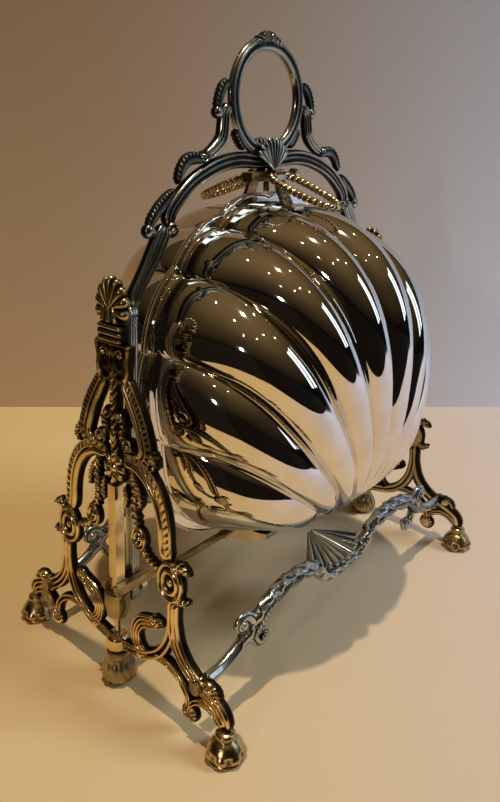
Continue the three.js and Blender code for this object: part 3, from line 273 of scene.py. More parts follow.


# %% [markdown]
# ## Finishes
#
# The supports' castings are warm and yellowed, the feet are older, the stretchers and the arch are greyer,
# and the bowls are polished. The arch, the ring and the crests are also darker, as painted shade for the dark
# room that they mirror. The ropes keep some of their gilding, and the small fittings are tarnished.
# All are the same recipe with other colours and roughness, so that they look like one metal, worn unevenly.

# %% Silvers of this box
cast = silver("cast_silver_plate", (0.98, 0.75, 0.4), (0.022, 0.015, 0.008), (0.13, 0.45), relief=1.0,
              grain=0.25, wave=0.6)
old_cast = silver("old_silver_feet", (0.6, 0.45, 0.24), (0.02, 0.013, 0.006), (0.2, 0.5), relief=1.0,
                  grain=0.4, wave=0.8)
cool_cast = silver("cast_silver_cool", (0.56, 0.6, 0.59), (0.02, 0.021, 0.019), (0.2, 0.48), relief=1.0,
                   grain=0.25, wave=0.6)
# A darker copy of the cool silver for the arch, ring and crests: painted shade, for the dark room that they
# mirror.
shaded_arch_cast = silver("cast_silver_shaded", (0.44, 0.44, 0.38), (0.02, 0.021, 0.019), (0.16, 0.45), relief=1.0,
                   grain=0.25, wave=0.6, threshold=(0.2, 0.8))
mirror = silver("mirror_silver_plate", (0.9, 0.86, 0.79), (0.62, 0.55, 0.44), (0.035, 0.09), grain=0.02,
                wave=0.35, tarnish=0.3)
plain = silver("plain_silver_plate", (0.8, 0.74, 0.62), (0.3, 0.25, 0.18), (0.15, 0.34), grain=0.25, wave=0.3)
dark = silver("tarnished_silver_plate", (0.5, 0.39, 0.22), (0.08, 0.06, 0.035), (0.26, 0.5), grain=0.5,
              wave=0.4, tarnish=0.7)
gilt = silver("golden_silver_rope", (0.9, 0.73, 0.42), (0.09, 0.06, 0.025), (0.14, 0.45), relief=1.0,
              grain=0.2, threshold=(0.1, 0.7))
lining = silver("bowl_lining_plate", (0.84, 0.76, 0.6), (0.5, 0.42, 0.3), (0.12, 0.26), grain=0.15, wave=0.5)
silvers = (cast, old_cast, cool_cast, shaded_arch_cast, mirror, plain, dark, gilt, lining)
print("silvers:", ", ".join(metal.name for metal in silvers))

# %% [markdown]
# ## Mouldings
#
# The supports, the arch and the ring are cast straps with mouldings along them. Across a strap runs a
# coordinate a from -1 to 1, and s is the distance along it in millimetres. A moulding is a height over a
# and s, between 0 and about 1, and the same number serves as the relief that the silver reads.

# %% Mouldings
def reeds(count, power=0.6):
    """`count` rounded ribs side by side: |sin(count pi (a + 1) / 2)| to a power below 1."""
    return lambda a, s: np.abs(np.sin(count * pi * (a + 1) / 2)) ** power + 0 * s


def lines(count, groove=0.34):
    """`count` round reeds with flat grooves between them: sqrt(1 - d^2) over each reed's own width."""
    def height(a, s):
        d = ((a + 1) * count / 2 % 1 - 0.5) * 2 / (1 - groove)
        return np.clip(1 - d ** 2, 0, 1) ** 0.5 + 0 * s
    return height


def cut_strip(pitch=3.2, slant=0.7):
    """A flat strip on the outer side, cut by thin slanted lines, a deep groove and a smooth inner reed.

    The cuts are exp(-(d / 0.13)^2), where d is the distance to the nearest line of s / pitch + slant a.
    """
    def height(a, s):
        strip = 0.78 * np.clip((0.44 - np.abs(a - 0.47)) / 0.05, 0, 1)
        line = (s / pitch + slant * a) % 1 - 0.5
        cut = 0.5 * np.exp(-(line / 0.13) ** 2) * np.clip((0.3 - np.abs(a - 0.46)) / 0.05, 0, 1)
        reed = np.clip(1 - ((a + 0.5) / 0.4) ** 2, 0, 1) ** 0.5
        return strip - cut + 0.2 * np.exp(-((np.abs(a - 0.47) - 0.38) / 0.06) ** 2) + reed
    return height


def chevrons(pitch=3.0, lean=0.9):
    """Leaf veins that run off a midrib: cos(2 pi (s / pitch - lean |a|)), with the rib raised."""
    return lambda a, s: (0.5 + 0.38 * np.cos(2 * pi * (s / pitch - lean * np.abs(a))) - 0.25 * a ** 2
                         + 0.35 * np.exp(-(a / 0.16) ** 2))


print("three reeds across a strap:", reeds(3)(np.linspace(-1, 1, 13), 0).round(1))

# %% [markdown]
# ## Straps and leaves
#
# A strap could be a Blender curve with a bevel, but its section would then be the same all along. Worked
# out point by point, it can narrow to a round tip, be frilled like an acanthus leaf, and carry beads or
# slanted cuts that keep their pitch round every bend.

# %% Straps
SWELL = (0.85, 1, 1, 0.95, 0.9)


def strap(points, width, mould, shares=SWELL, face=0.9, lift=1.7, back=3.8, across=21, frill=0.0, pitch=3.0,
          both=False, step=0.5):
    """P(s, a) = C(s) + a w(s) N(s), at a depth that follows the moulding in front and is plain behind.

    C is the smooth line, N its left normal and w half the width, which narrows to a round end and may
    be frilled by cos(2 pi s / pitch). With `both`, the moulding is on both faces, either side of depth 0.
    """
    _, run = smooth(points, 40)
    count = max(12, int(run[-1] / step))
    line, s = smooth(points, count)
    along = directions(line)
    normal = np.stack([-along[:, 1], along[:, 0]], axis=1)
    share = s / s[-1]
    half = width / 2 * np.interp(share, np.linspace(0, 1, len(shares)), shares)
    half = half * (1 + frill * np.cos(2 * pi * s / pitch))
    near = np.minimum(s, s[-1] - s)
    tip = np.sqrt(np.clip(1 - np.clip(1 - near / (0.5 * width), 0, 1) ** 2, 0, 1))
    front = -np.cos(np.linspace(0, pi, across))
    a = np.concatenate([front, front[::-1] if both else np.array([0.9, 0.45, 0, -0.45, -0.9])])
    edge = np.clip(1 - np.abs(a) ** 8, 0, 1) ** 0.5 * np.maximum(tip, 0.12)[:, None]
    relief = np.clip(mould(a[None, :], s[:, None]), 0, 1.3)
    if both:
        side = np.where(np.arange(len(a)) < across, -1.0, 1.0)
        depth = side * (back + lift * relief) * edge
    else:
        middle = (face + back) / 2
        goal = np.where(np.arange(len(a)) < across, face - lift * relief, back)
        depth = middle + (goal - middle) * edge
    flat = line[:, None] + normal[:, None] * (a[None, :] * (half * np.maximum(tip, 0.05))[:, None])[..., None]
    return capped(np.concatenate([flat, depth[..., None]], axis=-1), relief * edge)


def leaf(points, width, pitch=2.6, face=0.6, lift=2.0, back=3.6, both=False):
    """An acanthus leaf: a strap with chevron veins, a frilled edge and a pointed tip."""
    return strap(points, width, chevrons(pitch), shares=(0.35, 0.9, 1, 0.85, 0.55, 0.25), frill=0.14,
                 pitch=pitch, face=face, lift=lift, back=back, both=both)


print("a leaf 30 mm long has", len(leaf([[0, 0], [15, 4], [30, 0]], 5)[1]), "quads")

# %% [markdown]
# ## Bosses
#
# Round ornaments sit where scrolls meet or end: jewels, pearls, volutes, rosettes and small scallops. Each
# is a height over the radius, 0 in the middle and 1 at the edge, and the angle round it. They could be
# sculpted once and copied, but as formulas each has the size and the number of petals that its place needs.

# %% Bosses
def boss(centre, half_wide, half_high, height, face=0.6, lift=1.8, back=3.8, rings=22, around=60, both=False):
    """P(r, angle): a raised round or oval, out to an edge of (1 - r^10)^0.5 and back behind it."""
    angle = np.linspace(0, 2 * pi, around, endpoint=False)
    out = np.sin(np.linspace(0, pi / 2, rings))
    radius = np.concatenate([out, out[::-1] if both else [0.97, 0.5, 0.0]])
    relief = np.clip(height(radius[:, None], angle[None, :]), 0, 1.3)
    front = np.arange(len(radius)) < rings
    edge = np.clip(1 - radius ** 10, 0, 1)[:, None] ** 0.5
    if both:
        depth = np.where(front, -1, 1)[:, None] * (back + lift * relief) * edge
    else:
        middle = (face + back) / 2
        depth = middle + (np.where(front[:, None], face - lift * relief, back) - middle) * edge
    grid = np.stack([centre[0] + half_wide * radius[:, None] * np.cos(angle),
                     centre[1] + half_high * radius[:, None] * np.sin(angle), depth], axis=-1)
    return skin(grid, relief * edge)


print("a pearl of 3 mm has", len(boss((0, 0), 3, 3, lambda r, angle: 1 - r ** 2 + 0 * angle)[1]), "quads")

# %% Heights of the bosses
def jewel(radius, angle):
    """Two rings, exp(-((r - middle) / 0.11)^2) at 0.84 and 0.5, round a small domed eye."""
    rim = np.exp(-((radius - 0.84) / 0.11) ** 2)
    ring = 0.95 * np.exp(-((radius - 0.5) / 0.11) ** 2)
    return rim + ring + 0.8 * np.sqrt(np.clip(1 - (radius / 0.22) ** 2, 0, 1)) + 0 * angle


def pearl(radius, angle):
    """A plain dome, 1.2 sqrt(1 - r^2)."""
    return 1.2 * np.sqrt(np.clip(1 - radius ** 2, 0, 1)) + 0 * angle


def volute(hand=1, turns=1.6):
    """A spiral ridge round a small button: cos of the angle less the radius's turns."""
    def height(radius, angle):
        ridge = 0.55 + 0.45 * np.cos(hand * angle - 2 * pi * turns * radius ** 0.8)
        return np.where(radius < 0.28, 1.1 * np.sqrt(np.clip(1 - (radius / 0.3) ** 2, 0, 1)) + 0.2, ridge)
    return height


def rosette(petals=8):
    """Petals |cos(n angle / 2)|, fading as sin(pi r), round a domed eye."""
    def height(radius, angle):
        petal = np.abs(np.cos(petals * angle / 2)) ** 0.7 * np.sin(pi * np.clip(radius, 0, 1)) ** 0.5
        return np.where(radius < 0.3, 1.2 * np.sqrt(np.clip(1 - (radius / 0.32) ** 2, 0, 1)), petal)
    return height


def shell_drop(radius, angle):
    """A small scallop: eleven flutes cos(11 angle) on a dome, with one of them at its top."""
    return (0.55 + 0.4 * np.cos(11 * (angle - pi / 2))) * np.sqrt(np.clip(1 - radius ** 2, 0, 1)) + 0.25


print("a jewel is", round(float(jewel(0.84, 0)), 2), "high on its rim and",
      round(float(jewel(0.67, 0)), 2), "in the groove beside it")

# %% [markdown]
# ## Plaques and turned parts
#
# Above each support's loops stands a chased plaque with a stepped cap, and under it a small boss holds the
# guide rod. The plaque is a flat grid with rounded edges. The boss and the feet are round, so a profile is
# turned about the upright axis, as Blender's Screw modifier would, and fluted by the angle.

# %% Plaques
def panel(low, high, halves, mould, face=0.2, lift=1.6, back=3.8, rows=44, across=33):
    """P(t, a): a flat plaque from `low` to `high`, whose half width follows `halves` up its height.

    Across it a runs from -1 to 1, and the moulding is a height over a and t; all four edges are rounded.
    """
    t = np.linspace(0, 1, rows)[:, None]
    front = -np.cos(np.linspace(0, pi, across))
    a = np.concatenate([front, [0.9, 0.45, 0, -0.45, -0.9]])[None, :]
    half = np.interp(t, np.linspace(0, 1, len(halves)), halves)
    relief = np.clip(mould(a, t), 0, 1.3)
    edge = np.clip((1 - np.abs(a) ** 10) * (1 - np.abs(2 * t - 1) ** 14), 0, 1) ** 0.5
    middle = (face + back) / 2
    goal = np.where(np.arange(a.size)[None, :] < across, face - lift * relief, back)
    grid = np.stack([a * half, low + (high - low) * t + 0 * a, middle + (goal - middle) * edge], axis=-1)
    return capped(grid, relief * edge)


def shield(a, t):
    """A raised border, a midrib, and beside it two scrolls, cosines of the distance from their eyes."""
    border = np.exp(-((np.abs(a) - 0.86) / 0.09) ** 2) + np.exp(-((t - 0.95) / 0.035) ** 2)
    scroll = 0.5 + 0.5 * np.cos(2 * pi * (1.7 * np.hypot(1.15 * (np.abs(a) - 0.42), 1.3 * (t - 0.62)) / 0.55))
    return border + 0.8 * np.exp(-(a / 0.13) ** 2) * (0.6 + 0.4 * np.cos(16 * t)) + 0.6 * scroll * (t < 0.9)


print("the plaque's border is", round(float(shield(0.86, 0.5)), 2), "high")

# %% Turned parts
def lathe(profile, flutes=0, depth=0.0, where=(0.0, 1.0), around=96, power=0.7, shaded=0.65):
    """P(h, angle): a profile turned about Z, fluted by |cos(flutes angle / 2)| between two heights."""
    line = np.maximum(smooth(profile, 60)[0], 0)
    angle = np.linspace(0, 2 * pi, around, endpoint=False)
    height = line[:, 1]
    mask = np.clip((height - where[0]) / 1.2, 0, 1) * np.clip((where[1] - height) / 1.2, 0, 1)
    wave = np.abs(np.cos(flutes * angle / 2)) ** power if flutes else np.ones_like(angle)
    r = line[:, :1] * (1 - depth * mask[:, None] * (1 - wave))
    shade = 1 - shaded * mask[:, None] * (1 - wave) if flutes else 0.9 + 0 * r
    upright = np.broadcast_to(height[:, None], r.shape)
    return capped(np.stack([r * np.cos(angle), r * np.sin(angle), upright], axis=-1), shade)


rod_boss = lathe([[4.0, 18.2], [5.4, 19.2], [5.4, 24.6], [4.2, 26]], around=48)
print("the rod's boss is", round(float(np.ptp(rod_boss[0][:, 2])), 1), "mm high")

# %% [markdown]
# ## The end supports
#
# The drawn lines of a support are shares of its side reach and of the post's height, on one side of the
# middle. The support leans in, so a point drawn at (u, v, depth) goes into the object's frame by a turn.

# %% Places on a support
SIDE_REACH, POST_HEIGHT = 70.4, 176.0
FACE_AT_FLOOR, LEAN = 109.2, atan(0.0697)


def on_support(p):
    """From the left support's drawing (u across, v up, depth inwards) to the object's frame."""
    u, v, d = p.T
    return np.stack([d * cos(LEAN) + v * sin(LEAN) - FACE_AT_FLOOR, u, v * cos(LEAN) - d * sin(LEAN)], axis=1)


def drawn(shares):
    """Shares of the side reach and of the post's height, in millimetres."""
    return np.array(shares) * [SIDE_REACH, POST_HEIGHT]


print("a support leans in by", round(np.degrees(LEAN), 2), "degrees")

# %% The support's lines
main_loop = [[0.071, 0.665], [0.199, 0.668], [0.327, 0.641], [0.412, 0.594], [0.452, 0.540], [0.463, 0.489],
             [0.486, 0.449]]
lower_loop = [[0.526, 0.352], [0.534, 0.295], [0.504, 0.233], [0.419, 0.176], [0.291, 0.142], [0.142, 0.127],
              [0, 0.123]]
leg = [[0.548, 0.358], [0.545, 0.290], [0.582, 0.233], [0.668, 0.188], [0.781, 0.160], [0.895, 0.143],
       [0.974, 0.123], [1, 0.101], [1, 0.084]]
under_scroll = [[0.369, 0.156], [0.483, 0.161], [0.597, 0.145], [0.675, 0.114], [0.703, 0.074]]
inner_scroll = [[0.455, 0.268], [0.341, 0.250], [0.237, 0.232], [0.189, 0.193], [0.220, 0.156],
                [0.305, 0.139]]
foot_scroll = [[0.712, 0.082], [0.752, 0.106], [0.82, 0.121], [0.9, 0.118], [0.965, 0.1], [0.99, 0.086]]
chain = [[0.163, 0.659], [0.187, 0.602], [0.179, 0.551], [0.207, 0.500]]
chain_scroll = [[0.249, 0.455], [0.312, 0.430], [0.412, 0.416]]
lyre = [[0.085, 0.875], [0.149, 0.835], [0.213, 0.793], [0.263, 0.747], [0.288, 0.710], [0.256, 0.685],
        [0.170, 0.672]]
lyre_leaf = [[0.028, 0.790], [0.092, 0.761], [0.077, 0.730], [0.135, 0.705], [0.213, 0.699]]
print("the main loop is", round(float(smooth(drawn(main_loop), 40)[1][-1]), 1), "mm long")

# %% One half of the support
half = [
    strap(drawn(main_loop), 9.2, cut_strip(), lift=2.0, across=41),
    strap(drawn(lower_loop), 6.4, lines(2, 0.4), lift=1.9, across=31, step=0.9),
    strap(drawn(leg), 7.4, lines(3), lift=2.0, across=37, step=0.9),
    strap(drawn(under_scroll), 4.8, lines(2, 0.4), across=31, step=0.7),
    strap(drawn(foot_scroll), 4.6, lines(2, 0.4), shares=(0.5, 0.9, 1, 1), face=0.2, lift=1.9, across=31,
          step=0.7),
    strap(drawn(inner_scroll), 7.4, lines(4, 0.3), shares=(0.7, 1, 1, 0.9, 0.6), across=45, step=0.9),
    strap(drawn(chain), 5.0, chevrons(3.4), frill=0.28, pitch=3.4, lift=1.9),
    strap(drawn(chain_scroll), 4.0, chevrons(2.8), frill=0.2, pitch=2.8),
    strap(drawn(lyre), 9.6, cut_strip(2.4, 0.4), shares=(0.75, 0.95, 1.05, 1, 0.85), lift=1.7, across=41),
    leaf(drawn(lyre_leaf), 5.4),
    boss(drawn([0.511, 0.398]), 8.4, 10.5, jewel, lift=1.8),
    boss(drawn([0.230, 0.472]), 4.8, 6.0, jewel),
    boss(drawn([0.859, 0.168]), 3.8, 3.8, volute()),
    boss(drawn([0.703, 0.060]), 4.9, 4.9, shell_drop),
    boss(drawn([0.384, 0.262]), 3.3, 3.3, volute(-1)),
    boss(drawn([0.781, 0.160]), 4.6, 4.6, lambda r, a: 0.5 + 0.5 * np.cos(9 * a) * (r > 0.55)),
    boss((5.2, 163.4), 2.7, 2.7, volute(), face=0.0, lift=1.4),
    boss((4.6, 136.5), 3.0, 3.0, volute(-1)),
    boss((9.6, 124.2), 3.8, 3.8, volute()),
    boss(drawn([0.355, 0.700]), 2.6, 2.6, volute(-1)),
    boss(drawn([0.236, 0.133]), 2.3, 2.3, pearl),
    leaf(drawn([[0.52, 0.432], [0.600, 0.455], [0.682, 0.443]]), 5.2),
    leaf(drawn([[0.55, 0.372], [0.625, 0.362], [0.676, 0.375]]), 4.6),
    leaf(drawn([[0.327, 0.722], [0.375, 0.690], [0.340, 0.664]]), 4.4),
    leaf(drawn([[0.86, 0.182], [0.92, 0.172], [0.955, 0.15]]), 3.0, pitch=1.8),
    leaf(drawn([[0.155, 0.64], [0.235, 0.60], [0.245, 0.555]]), 3.6, pitch=2.2),
    leaf(drawn([[0.10, 0.60], [0.115, 0.57], [0.100, 0.535]]), 3.2, pitch=2.2),
]
print("half a support has", len(half), "parts")

# %% The middle of the support
middle = [
    strap([[0, 114], [0, 130], [0, 157]], 5.6, chevrons(4.2), shares=(1, 1), lift=1.9),
    boss((0, 112), 8.1, 8.1, rosette(), lift=1.9),
    leaf([[0, 139], [0, 145], [0, 151]], 5.0, pitch=2.6),
    boss((0, 127), 2.3, 3.9, pearl),
    panel(149.6, 168.4, (9.2, 10.6, 11.0, 11.4, 12.4), shield),
    panel(168.0, 176.0, (7.7, 8.3, 8.3, 7.7), lambda a, t: np.abs(np.sin(3 * pi * t)) ** 0.6 + 0 * a,
          face=-1.4, lift=1.5, rows=30),
    strap([[-9, 21.5], [0, 21.2], [9, 21.5]], 7.0, chevrons(4.5, 0.6), shares=(0.8, 1, 0.8)),
]


def as_drawn(part):
    """A part turned about Z, laid into the support's drawing: x becomes depth, y across, z up."""
    v, q, r = part
    return np.stack([v[:, 1], v[:, 2], v[:, 0] + 0.6], axis=1), q, r


def painted_shade_above(part, low=92, high=126, relief_at_top=0.55):
    """A part whose relief falls from 1 at `low` to a smaller share at `high`: painted shade on its upper
    part, for the dark room that it mirrors.
    """
    v, q, r = part
    return v, q, r * np.interp(v[:, 1], [low, high], [1, relief_at_top])


# The supports' upper parts are darkened by painted shade, for the dark room that they mirror.
support = [painted_shade_above(part) for part in half + mirrored(half) + middle + [as_drawn(rod_boss)]]
print("a support has", len(support), "parts")

# %% [markdown]
# ## Finials
#
# On each support's sleeve stands a palmette, a fan of nine petals. It could be modelled petal by petal; a
# rib that is the sine of the angle gives all nine at once, and the same rib swells the edge.

# %% Palmettes
def palmette_part(middle, half_wide, high, lobes, spread, front, back, swell=0.14):
    """P(angle, r): an anthemion of petals round a centre, on both faces.

    Its edge is an ellipse, swelled by |sin(lobes pi f)| along the fraction f of the spread, and its depth
    follows the same ribs, which grow from the centre outwards.
    """
    f = np.linspace(0, 1, lobes * 16 + 1)[:, None]
    angle = radians(spread) * (0.5 - f)
    rib = np.abs(np.sin(pi * lobes * f)) ** 0.7
    r = np.linspace(0.02, 1, 26)[None, :]
    reach = r * (1 - swell + swell * rib)
    half = (back - front) / 2
    thick = half * (0.42 + 0.58 * rib * np.clip(1.15 - r, 0, 1) ** 0.25 * r ** 0.4) * (1 - r ** 12) ** 0.5
    thick = np.where(r < 1, thick, 0.35 * half)
    flat = [half_wide * reach * np.sin(angle), middle + high * reach * np.cos(angle)]
    faces = [np.stack([*flat, (front + back) / 2 + side * thick], axis=-1) for side in (-1, 1)]
    grid = np.concatenate([faces[0], faces[1][:, ::-1]], axis=1)
    shade = np.concatenate([rib * np.ones_like(r)] * 2, axis=1)
    return capped(grid, shade)


def finial_parts():
    """A palmette of nine petals on a waisted foot, whose flutes are |cos(3 pi a / 2)|."""
    foot = panel(176.3, 183.5, (6.9, 5.7, 5.4, 4.2), lambda a, t: np.abs(np.cos(3 * pi * a / 2)) + 0 * t,
                 face=-1.6, lift=1.2, rows=20)
    # The finial is darkened above by the same painted shade.
    return [painted_shade_above(palmette_part(181.6, 9.8, 13.6, 9, 216, -2.9, 3.7)), painted_shade_above(foot)]


print("a finial has", sum(len(part[1]) for part in finial_parts()), "quads")

# %% [markdown]
# ## Feet
#
# Four domed shells carry the stand, and a pear under each guide rod. Both are turned and then fluted. The
# shells are dark with old polish, because no polishing cloth reaches under them.

# %% The stand's ends
FOOT_ALONG, PEAR_ALONG = 107.3, 107.41
FOOT = [[0, 0], [7.7, 0.0], [8.4, 0.5], [8.3, 1.3], [7.7, 1.9], [8.6, 2.7], [9.2, 3.6], [8.9, 4.7],
        [8.0, 6.0], [7.0, 7.4], [5.5, 9.2], [4.0, 10.4], [3.6, 11.0], [4.4, 12.0], [4.3, 13.0], [2.8, 14.0],
        [0, 14.3]]
PEAR = [[0, 0], [4.4, 0.0], [7.6, 1.8], [8.7, 4.6], [7.8, 8.6], [5.8, 12.6], [5.0, 15.0], [5.5, 16.4],
        [5.2, 17.0], [2.0, 17.0]]

for end, half_turn in (("left", False), ("right", True)):
    make(f"scroll_support_{end}", support, cast, "stand", f"end_support_{end}", on_support,
         half_turn)
    make(f"palmette_{end}", finial_parts(), cast, "stand", f"finial_{end}", on_support,
         half_turn)
    pear = lathe(PEAR, 12, 0.06, (0.8, 13.0), shaded=0.4)
    make(f"pear_shell_foot_{end}", [moved(pear, shift=(-PEAR_ALONG, 0, 0))], dark, "stand",
         f"pear_foot_{end}", None, half_turn)
    for face, across in (("front", -1), ("rear", 1)):
        facing = across * (-1 if half_turn else 1)
        foot = lathe(FOOT, 7, 0.12, (1.4, 6.4), around=144, power=1.3)
        make(f"shell_foot_{face}_{end}", [moved(foot, shift=(-FOOT_ALONG, facing * SIDE_REACH, 0))], old_cast,
             "stand", f"foot_{face}_{end}", None, half_turn)

# %% [markdown]
# ## Stretchers
#
# A stretcher starts as a plain bar, curls into a knot of two scrolls and runs on as a leafy branch, dipping
# in the middle under a scallop that the open bowl lies over. A tube whose radius is a function of the
# distance and the angle gives the bar, the branch and the scrolls alike.

# %% Tubes
def tube(points, radius, sides=28, closed=False, step=0.4, across=(0, 1, 0)):
    """P(s, angle) = C(s) + r(s, angle) (cos(angle) N(s) + sin(angle) B), for a curve in one plane.

    B is the plane's normal and N is square to it and to the curve.
    """
    _, run = smooth(points, 60, closed)
    count = max(16, int(run[-1] / step))
    line, s = smooth(points, count, closed)
    out = np.asarray(across, float)
    normal = np.cross(directions(line, closed), out)
    angle = np.linspace(0, 2 * pi, sides, endpoint=False)
    r, relief = radius(s[:, None], angle[None, :], s[-1])
    grid = (line[:, None] + (r * np.cos(angle))[..., None] * normal[:, None]
            + (r * np.sin(angle))[..., None] * out)
    if not closed:
        grid = np.concatenate([line[:1, None].repeat(sides, 1), grid, line[-1:, None].repeat(sides, 1)])
        relief = np.concatenate([relief[:1], relief, relief[-1:]])
    return skin(grid, relief, wrap_u=closed)


plain_rod = tube([[0, 0, 0], [10, 0, 0], [20, 0, 0]], lambda s, v, total: (2 + 0 * s * v, 1 + 0 * s * v))
print("a rod 20 mm long has", len(plain_rod[1]), "quads")

# %% The stretcher's line
STRETCHER_Y, BAR_END, BAR_LOW, BAR_HIGH = 54.98, 102.4, 28.16, 51.3
BAR_UNDER_REST = 33.6
bar_shares = [[1, 0], [0.93, 0.02], [0.86, 0.09], [0.79, 0.23], [0.73, 0.43], [0.68, 0.62], [0.62, 0.79],
              [0.53, 0.92], [0.44, 0.955], [0.35, 0.93], [0.27, 0.83], [0.222, 0.64], [0.185, 0.42],
              [0.145, 0.29], [0.08, 0.24]]
bar_half = [[BAR_END * x, BAR_LOW + (BAR_HIGH - BAR_LOW) * z] for x, z in bar_shares]
bar_line = [[x, -STRETCHER_Y, z] for x, z in [*bar_half, [0, BAR_UNDER_REST]]]
bar_line += [[-x, -STRETCHER_Y, z] for x, z in bar_half[::-1]]
print("a stretcher's line has", len(bar_line), "points")

# %% Branch and knot
BAR_RADIUS, PLAIN_LENGTH, LEAF_OFF = 3.3, 24, 2.2


def branch(s, angle, total):
    """Facets cos(4 angle) at the ends, then three strands |cos(1.5 angle + s / 3.4)| with leaves."""
    side = np.minimum(s, total - s)
    plain_end = np.clip((PLAIN_LENGTH - side) / 3, 0, 1)
    strands = np.abs(np.cos(1.5 * angle + s / 3.4)) ** 0.6
    leaves = np.clip(np.cos(2 * angle - s * 2 * pi / 8.5), 0, 1) ** 0.7
    bark = 0.5 + 0.5 * np.cos(9 * angle + s * 5.1) * np.cos(3 * angle - s * 3.3)
    rough = (1 - plain_end) * (0.18 * strands + 0.16 * leaves + 0.07 * bark - 0.16)
    facets = 0.05 * np.cos(4 * angle) * plain_end
    under_rest = np.clip((side - (total / 2 - 20)) / 6, 0, 1)
    swollen_end = 0.1 * plain_end * np.clip((8 - side) / 8, 0, 1)
    radius = BAR_RADIUS * (0.9 + rough + facets - 0.2 * under_rest + swollen_end)
    shade = 0.85 * plain_end + (1 - plain_end) * (0.1 + 0.55 * strands + 0.3 * leaves + 0.2 * bark)
    return radius, np.clip(shade, 0, 1)


def on_bar(part, y=0.0):
    """A part drawn in x and z with its depth, stood upright in the stretcher's plane and `y` off it."""
    v, q, r = part
    return np.stack([v[:, 0], -STRETCHER_Y - y + v[:, 2], v[:, 1]], axis=1), q, r


def curl(points, thick):
    """A scroll of the knot: a strand with three reeds, |cos(1.5 angle)|, which thins towards its end."""
    def strand(s, angle, total):
        reed = np.abs(np.cos(1.5 * angle)) ** 0.6
        return thick * (0.78 + 0.22 * reed) * (1 - 0.35 * s / total), 0.15 + 0.85 * reed + 0 * s
    return tube([[x, -STRETCHER_Y, z] for x, z in points], strand, sides=24)


def bar_leaf(points, width, pitch=2.0):
    """A leaf laid on the front of the stretcher, LEAF_OFF in front of its line."""
    return on_bar(leaf(points, width, pitch=pitch, face=-0.9, lift=1.2, back=1.2), LEAF_OFF)


knot = [
    curl([[68, 43], [72, 41.5], [74.5, 44.5], [77.5, 47], [81, 46.6], [82.6, 43.8], [80.6, 41.6], [78.6, 43]],
         2.9),
    curl([[75.5, 40], [73.5, 36], [71.5, 31], [68.5, 27.2], [65, 27], [63.6, 29.8], [65.4, 31.8], [67, 30.6]],
         2.9),
    on_bar(boss((79.9, 43.9), 2.3, 2.3, pearl, both=True, back=1.7, lift=1.4)),
    on_bar(boss((65.9, 29.6), 2.3, 2.3, pearl, both=True, back=1.7, lift=1.4)),
    bar_leaf([[76, 34], [70.5, 38.5], [63, 44.5], [56, 48.5]], 5.2, pitch=2.2),
    bar_leaf([[62, 45], [54, 47], [46, 50.6]], 4.2),
    bar_leaf([[50, 49], [42, 48.5], [34.5, 50.4]], 4.2),
    bar_leaf([[38, 49.5], [31.5, 47.0], [26.5, 47.6]], 4.0),
    on_bar(boss((24.2, 45.0), 2.7, 2.7, rosette(6), both=True, back=2.7, lift=1.0)),
    on_bar(boss((20.4, 40.2), 2.1, 2.1, pearl, both=True, back=2.7, lift=1.0)),
]
bar_parts = [tube(bar_line, branch, step=0.5), *knot, *mirrored(knot)]
print("a stretcher has", len(bar_parts), "parts")

# %% [markdown]
# ## Rests and crests
#
# A scallop shell on each stretcher takes the open bowl, tilted to meet it. Its flutes are ribs that grow
# outwards from the apex, over a plain underside. The scallops on the arch are small palmettes.

# %% Rests
def fan_part(radius, spread, flutes, thick, ripple, cup=0.0, inner=0.1, scallop=0.07):
    """A scallop shell, P(r, angle), fanned about its apex and closed by a plain underside.

    The flutes are |sin| ribs whose height grows outwards, and the edge is scalloped with them. The fan
    faces up and opens towards -y.
    """
    f = np.linspace(0, 1, flutes * 14 + 1)
    angle = radians(spread) * (f - 0.5)
    rib = np.abs(np.sin(pi * flutes * f)) ** 0.6
    edge = radius * (1 - scallop + scallop * rib)
    t = np.linspace(inner, 1, 34)
    upper = thick + ripple * rib[:, None] * t ** 0.7 * 1.6 - cup * t ** 2
    lower = -cup * t ** 2 + 0 * rib[:, None]
    r = edge[:, None] * t
    top = np.stack([r * np.sin(angle)[:, None], -r * np.cos(angle)[:, None], upper], axis=-1)
    under = np.stack([r * np.sin(angle)[:, None], -r * np.cos(angle)[:, None], lower], axis=-1)
    grid = np.concatenate([top, under[:, ::-1]], axis=1)
    shade = np.concatenate([rib[:, None] * np.ones_like(t), np.full((len(f), len(t)), 0.5)], axis=1)
    return capped(grid, shade)


REST_TILT, REST_SEAT_IN, REST_LIFT, BAR_DIP, BAR_TOP = 17, 24.0, 1.3, 32.1, 3.8
rest = fan_part(27.6, 104, 10, 1.5, 2.0, cup=0.5, inner=0.08, scallop=0.12)
rest_place = (0, REST_SEAT_IN - STRETCHER_Y,
              BAR_DIP + BAR_TOP + REST_LIFT + REST_SEAT_IN * tan(radians(REST_TILT)))
rest_parts = [moved(rest, tipped(REST_TILT), rest_place)]
print("a rest's apex is", round(rest_place[2], 1), "mm above the table")

# %% Crests, and the pieces of both faces
CREST_HEIGHT = 230.6


def on_handle(p):
    """From the arch's drawing (x, z, depth towards the back) to the object's frame."""
    return p[:, [0, 2, 1]]


crest_parts = [palmette_part(CREST_HEIGHT, 12.6, 14.8, 9, 124, 2.7, 5.4, swell=0.1),
               boss((0, CREST_HEIGHT), 2.2, 1.9, pearl, face=3.0, back=5)]
crest_parts = [(v * [1, 1, -1], q[:, ::-1], r) for v, q, r in crest_parts]

